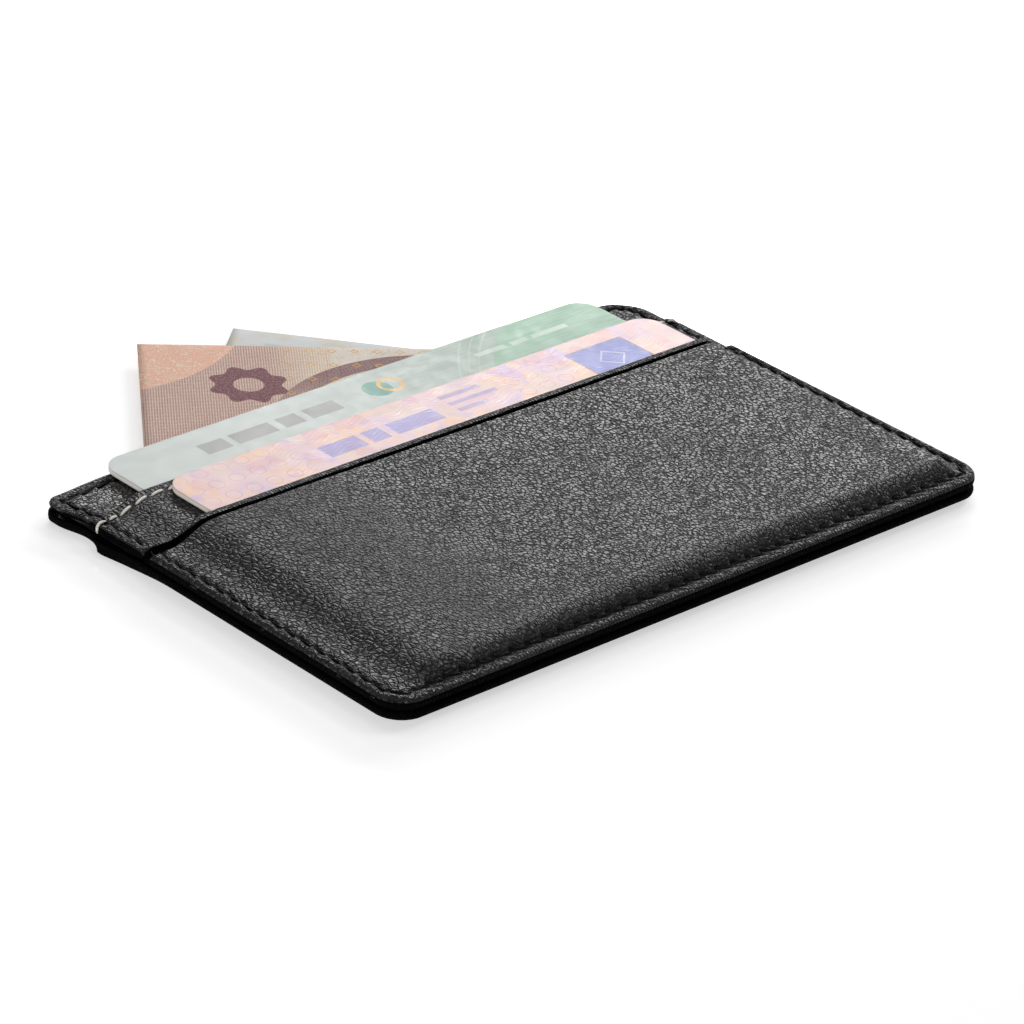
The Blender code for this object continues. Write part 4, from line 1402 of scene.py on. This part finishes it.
note_length, note_width = 63.5 * mm, 33.5 * mm
paper_thickness = 0.07 * mm
front_turn, rear_turn = radians(-37.2), radians(-50.0)


def note_corner(node, turn):
    """The note lies turned in its box: its middle is the box's middle."""
    low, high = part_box(node)
    middle = (low + high) / 2
    back = Matrix.Rotation(turn, 2) @ Vector((-note_length / 2, -note_width / 2))
    return Vector((middle.x + back.x, middle.y + back.y, low.z))


salmon_paper = paper_material("salmon_paper", note_corner("front_note", front_turn), front_turn,
                              draw_salmon)
blue_paper = paper_material("blue_paper", note_corner("rear_note", rear_turn), rear_turn,
                            draw_blue)
print("papers made")

# %% Folded notes
def folded_section(width, height):
    """Points across a note that is folded twice: free end, four layers, second free end."""
    gap = (height - 4 * paper_thickness) / 3
    levels = [paper_thickness / 2 + step * (paper_thickness + gap) for step in range(4)]
    near, far = 0.25 * mm, width - 0.20 * mm
    points = []

    def straight(start, end, level):
        points.extend((start + (end - start) * step / 24, level) for step in range(25))

    def turn_over(where, start, end, sign):
        radius, centre = abs(end - start) / 2, (start + end) / 2
        way = 1 if end > start else -1
        points.extend((where + sign * radius * sin(pi * step / 7),
                       centre - way * radius * cos(pi * step / 7)) for step in range(1, 7))

    straight(near, far, levels[0])
    turn_over(far, levels[0], levels[3], 1)
    straight(far, near, levels[3])
    turn_over(near, levels[3], levels[2], -1)
    straight(near, far - 0.15 * mm, levels[2])
    turn_over(far - 0.15 * mm, levels[2], levels[1], 1)
    straight(far - 0.15 * mm, near, levels[1])
    return points


def add_note(name, node, body, material, turn):
    low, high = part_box(node)
    start = note_corner(node, turn)
    section = folded_section(note_width, high.z - low.z)
    across = Matrix.Rotation(turn, 2)
    curl = 0.02 * mm

    def place_note(index, along):
        v, z = section[index]
        place = across @ Vector((along, v))
        x, y = start.x + place.x, start.y + place.y
        free = ease((y - open_edge - 1 * mm) / (24 * mm))
        lift = curl * free + 0.02 * mm * wobble(x, y, 9 * mm, curl / mm) * free
        return (x, y, low.z + z + lift), along, 0.0, along, 0.0, 0.0

    lengths = steps(0.0, note_length, 1.3 * mm) + [note_length]
    bm = lay_grid(list(range(len(section))), lengths, place_note)
    paper = link_piece(bm, name, body, node, [material]).modifiers.new("paper", "SOLIDIFY")
    paper.thickness, paper.offset = paper_thickness, 0.0


add_note("folded_front_note", "front_note", "front_note_body", salmon_paper,
         front_turn)
add_note("folded_rear_note", "rear_note", "rear_note_body", blue_paper, rear_turn)

# %% [markdown]
# ## Hidden layers
#
# Two thin boards and two sheets of foil lie inside the halves. Their plain shapes from the frame
# are right, so they only get materials: grey fibre for the board, and a dull crinkled foil.

# %% Board and foil
grey_board, tree, shader = new_material("grey_board")
fibre = cloudy(in_millimetres(tree), 1.4, 6.0, Distortion=1.0)
dress(shader, mix_colour(fibre, rgb(176, 172, 164), rgb(204, 200, 192)),
      span(fibre, 0.3, 0.7, 0.95, 0.8), fibre, 0.03 * mm)

bright_foil, tree, shader = new_material("bright_foil")
crinkle = out(add(tree, "ShaderNodeTexVoronoi", {"Vector": in_millimetres(tree), "Scale": 0.35},
                  feature="DISTANCE_TO_EDGE"), "Distance")
dress(shader, mix_colour(crinkle, rgb(208, 208, 212), rgb(232, 232, 234)),
      span(crinkle, 0.0, 0.4, 0.42, 0.28), crinkle, 0.04 * mm)
shader.inputs["Metallic"].default_value = 1.0

for node, material in (("front_stiffener_board", grey_board), ("back_stiffener_board", grey_board),
                       ("front_shield_foil", bright_foil), ("back_shield_foil", bright_foil)):
    piece = nodes[node]
    if not piece.material_slots:
        piece.data.materials.append(material)
    for index in range(len(piece.material_slots)):
        piece.material_slots[index].material = material
print("hidden layers done")
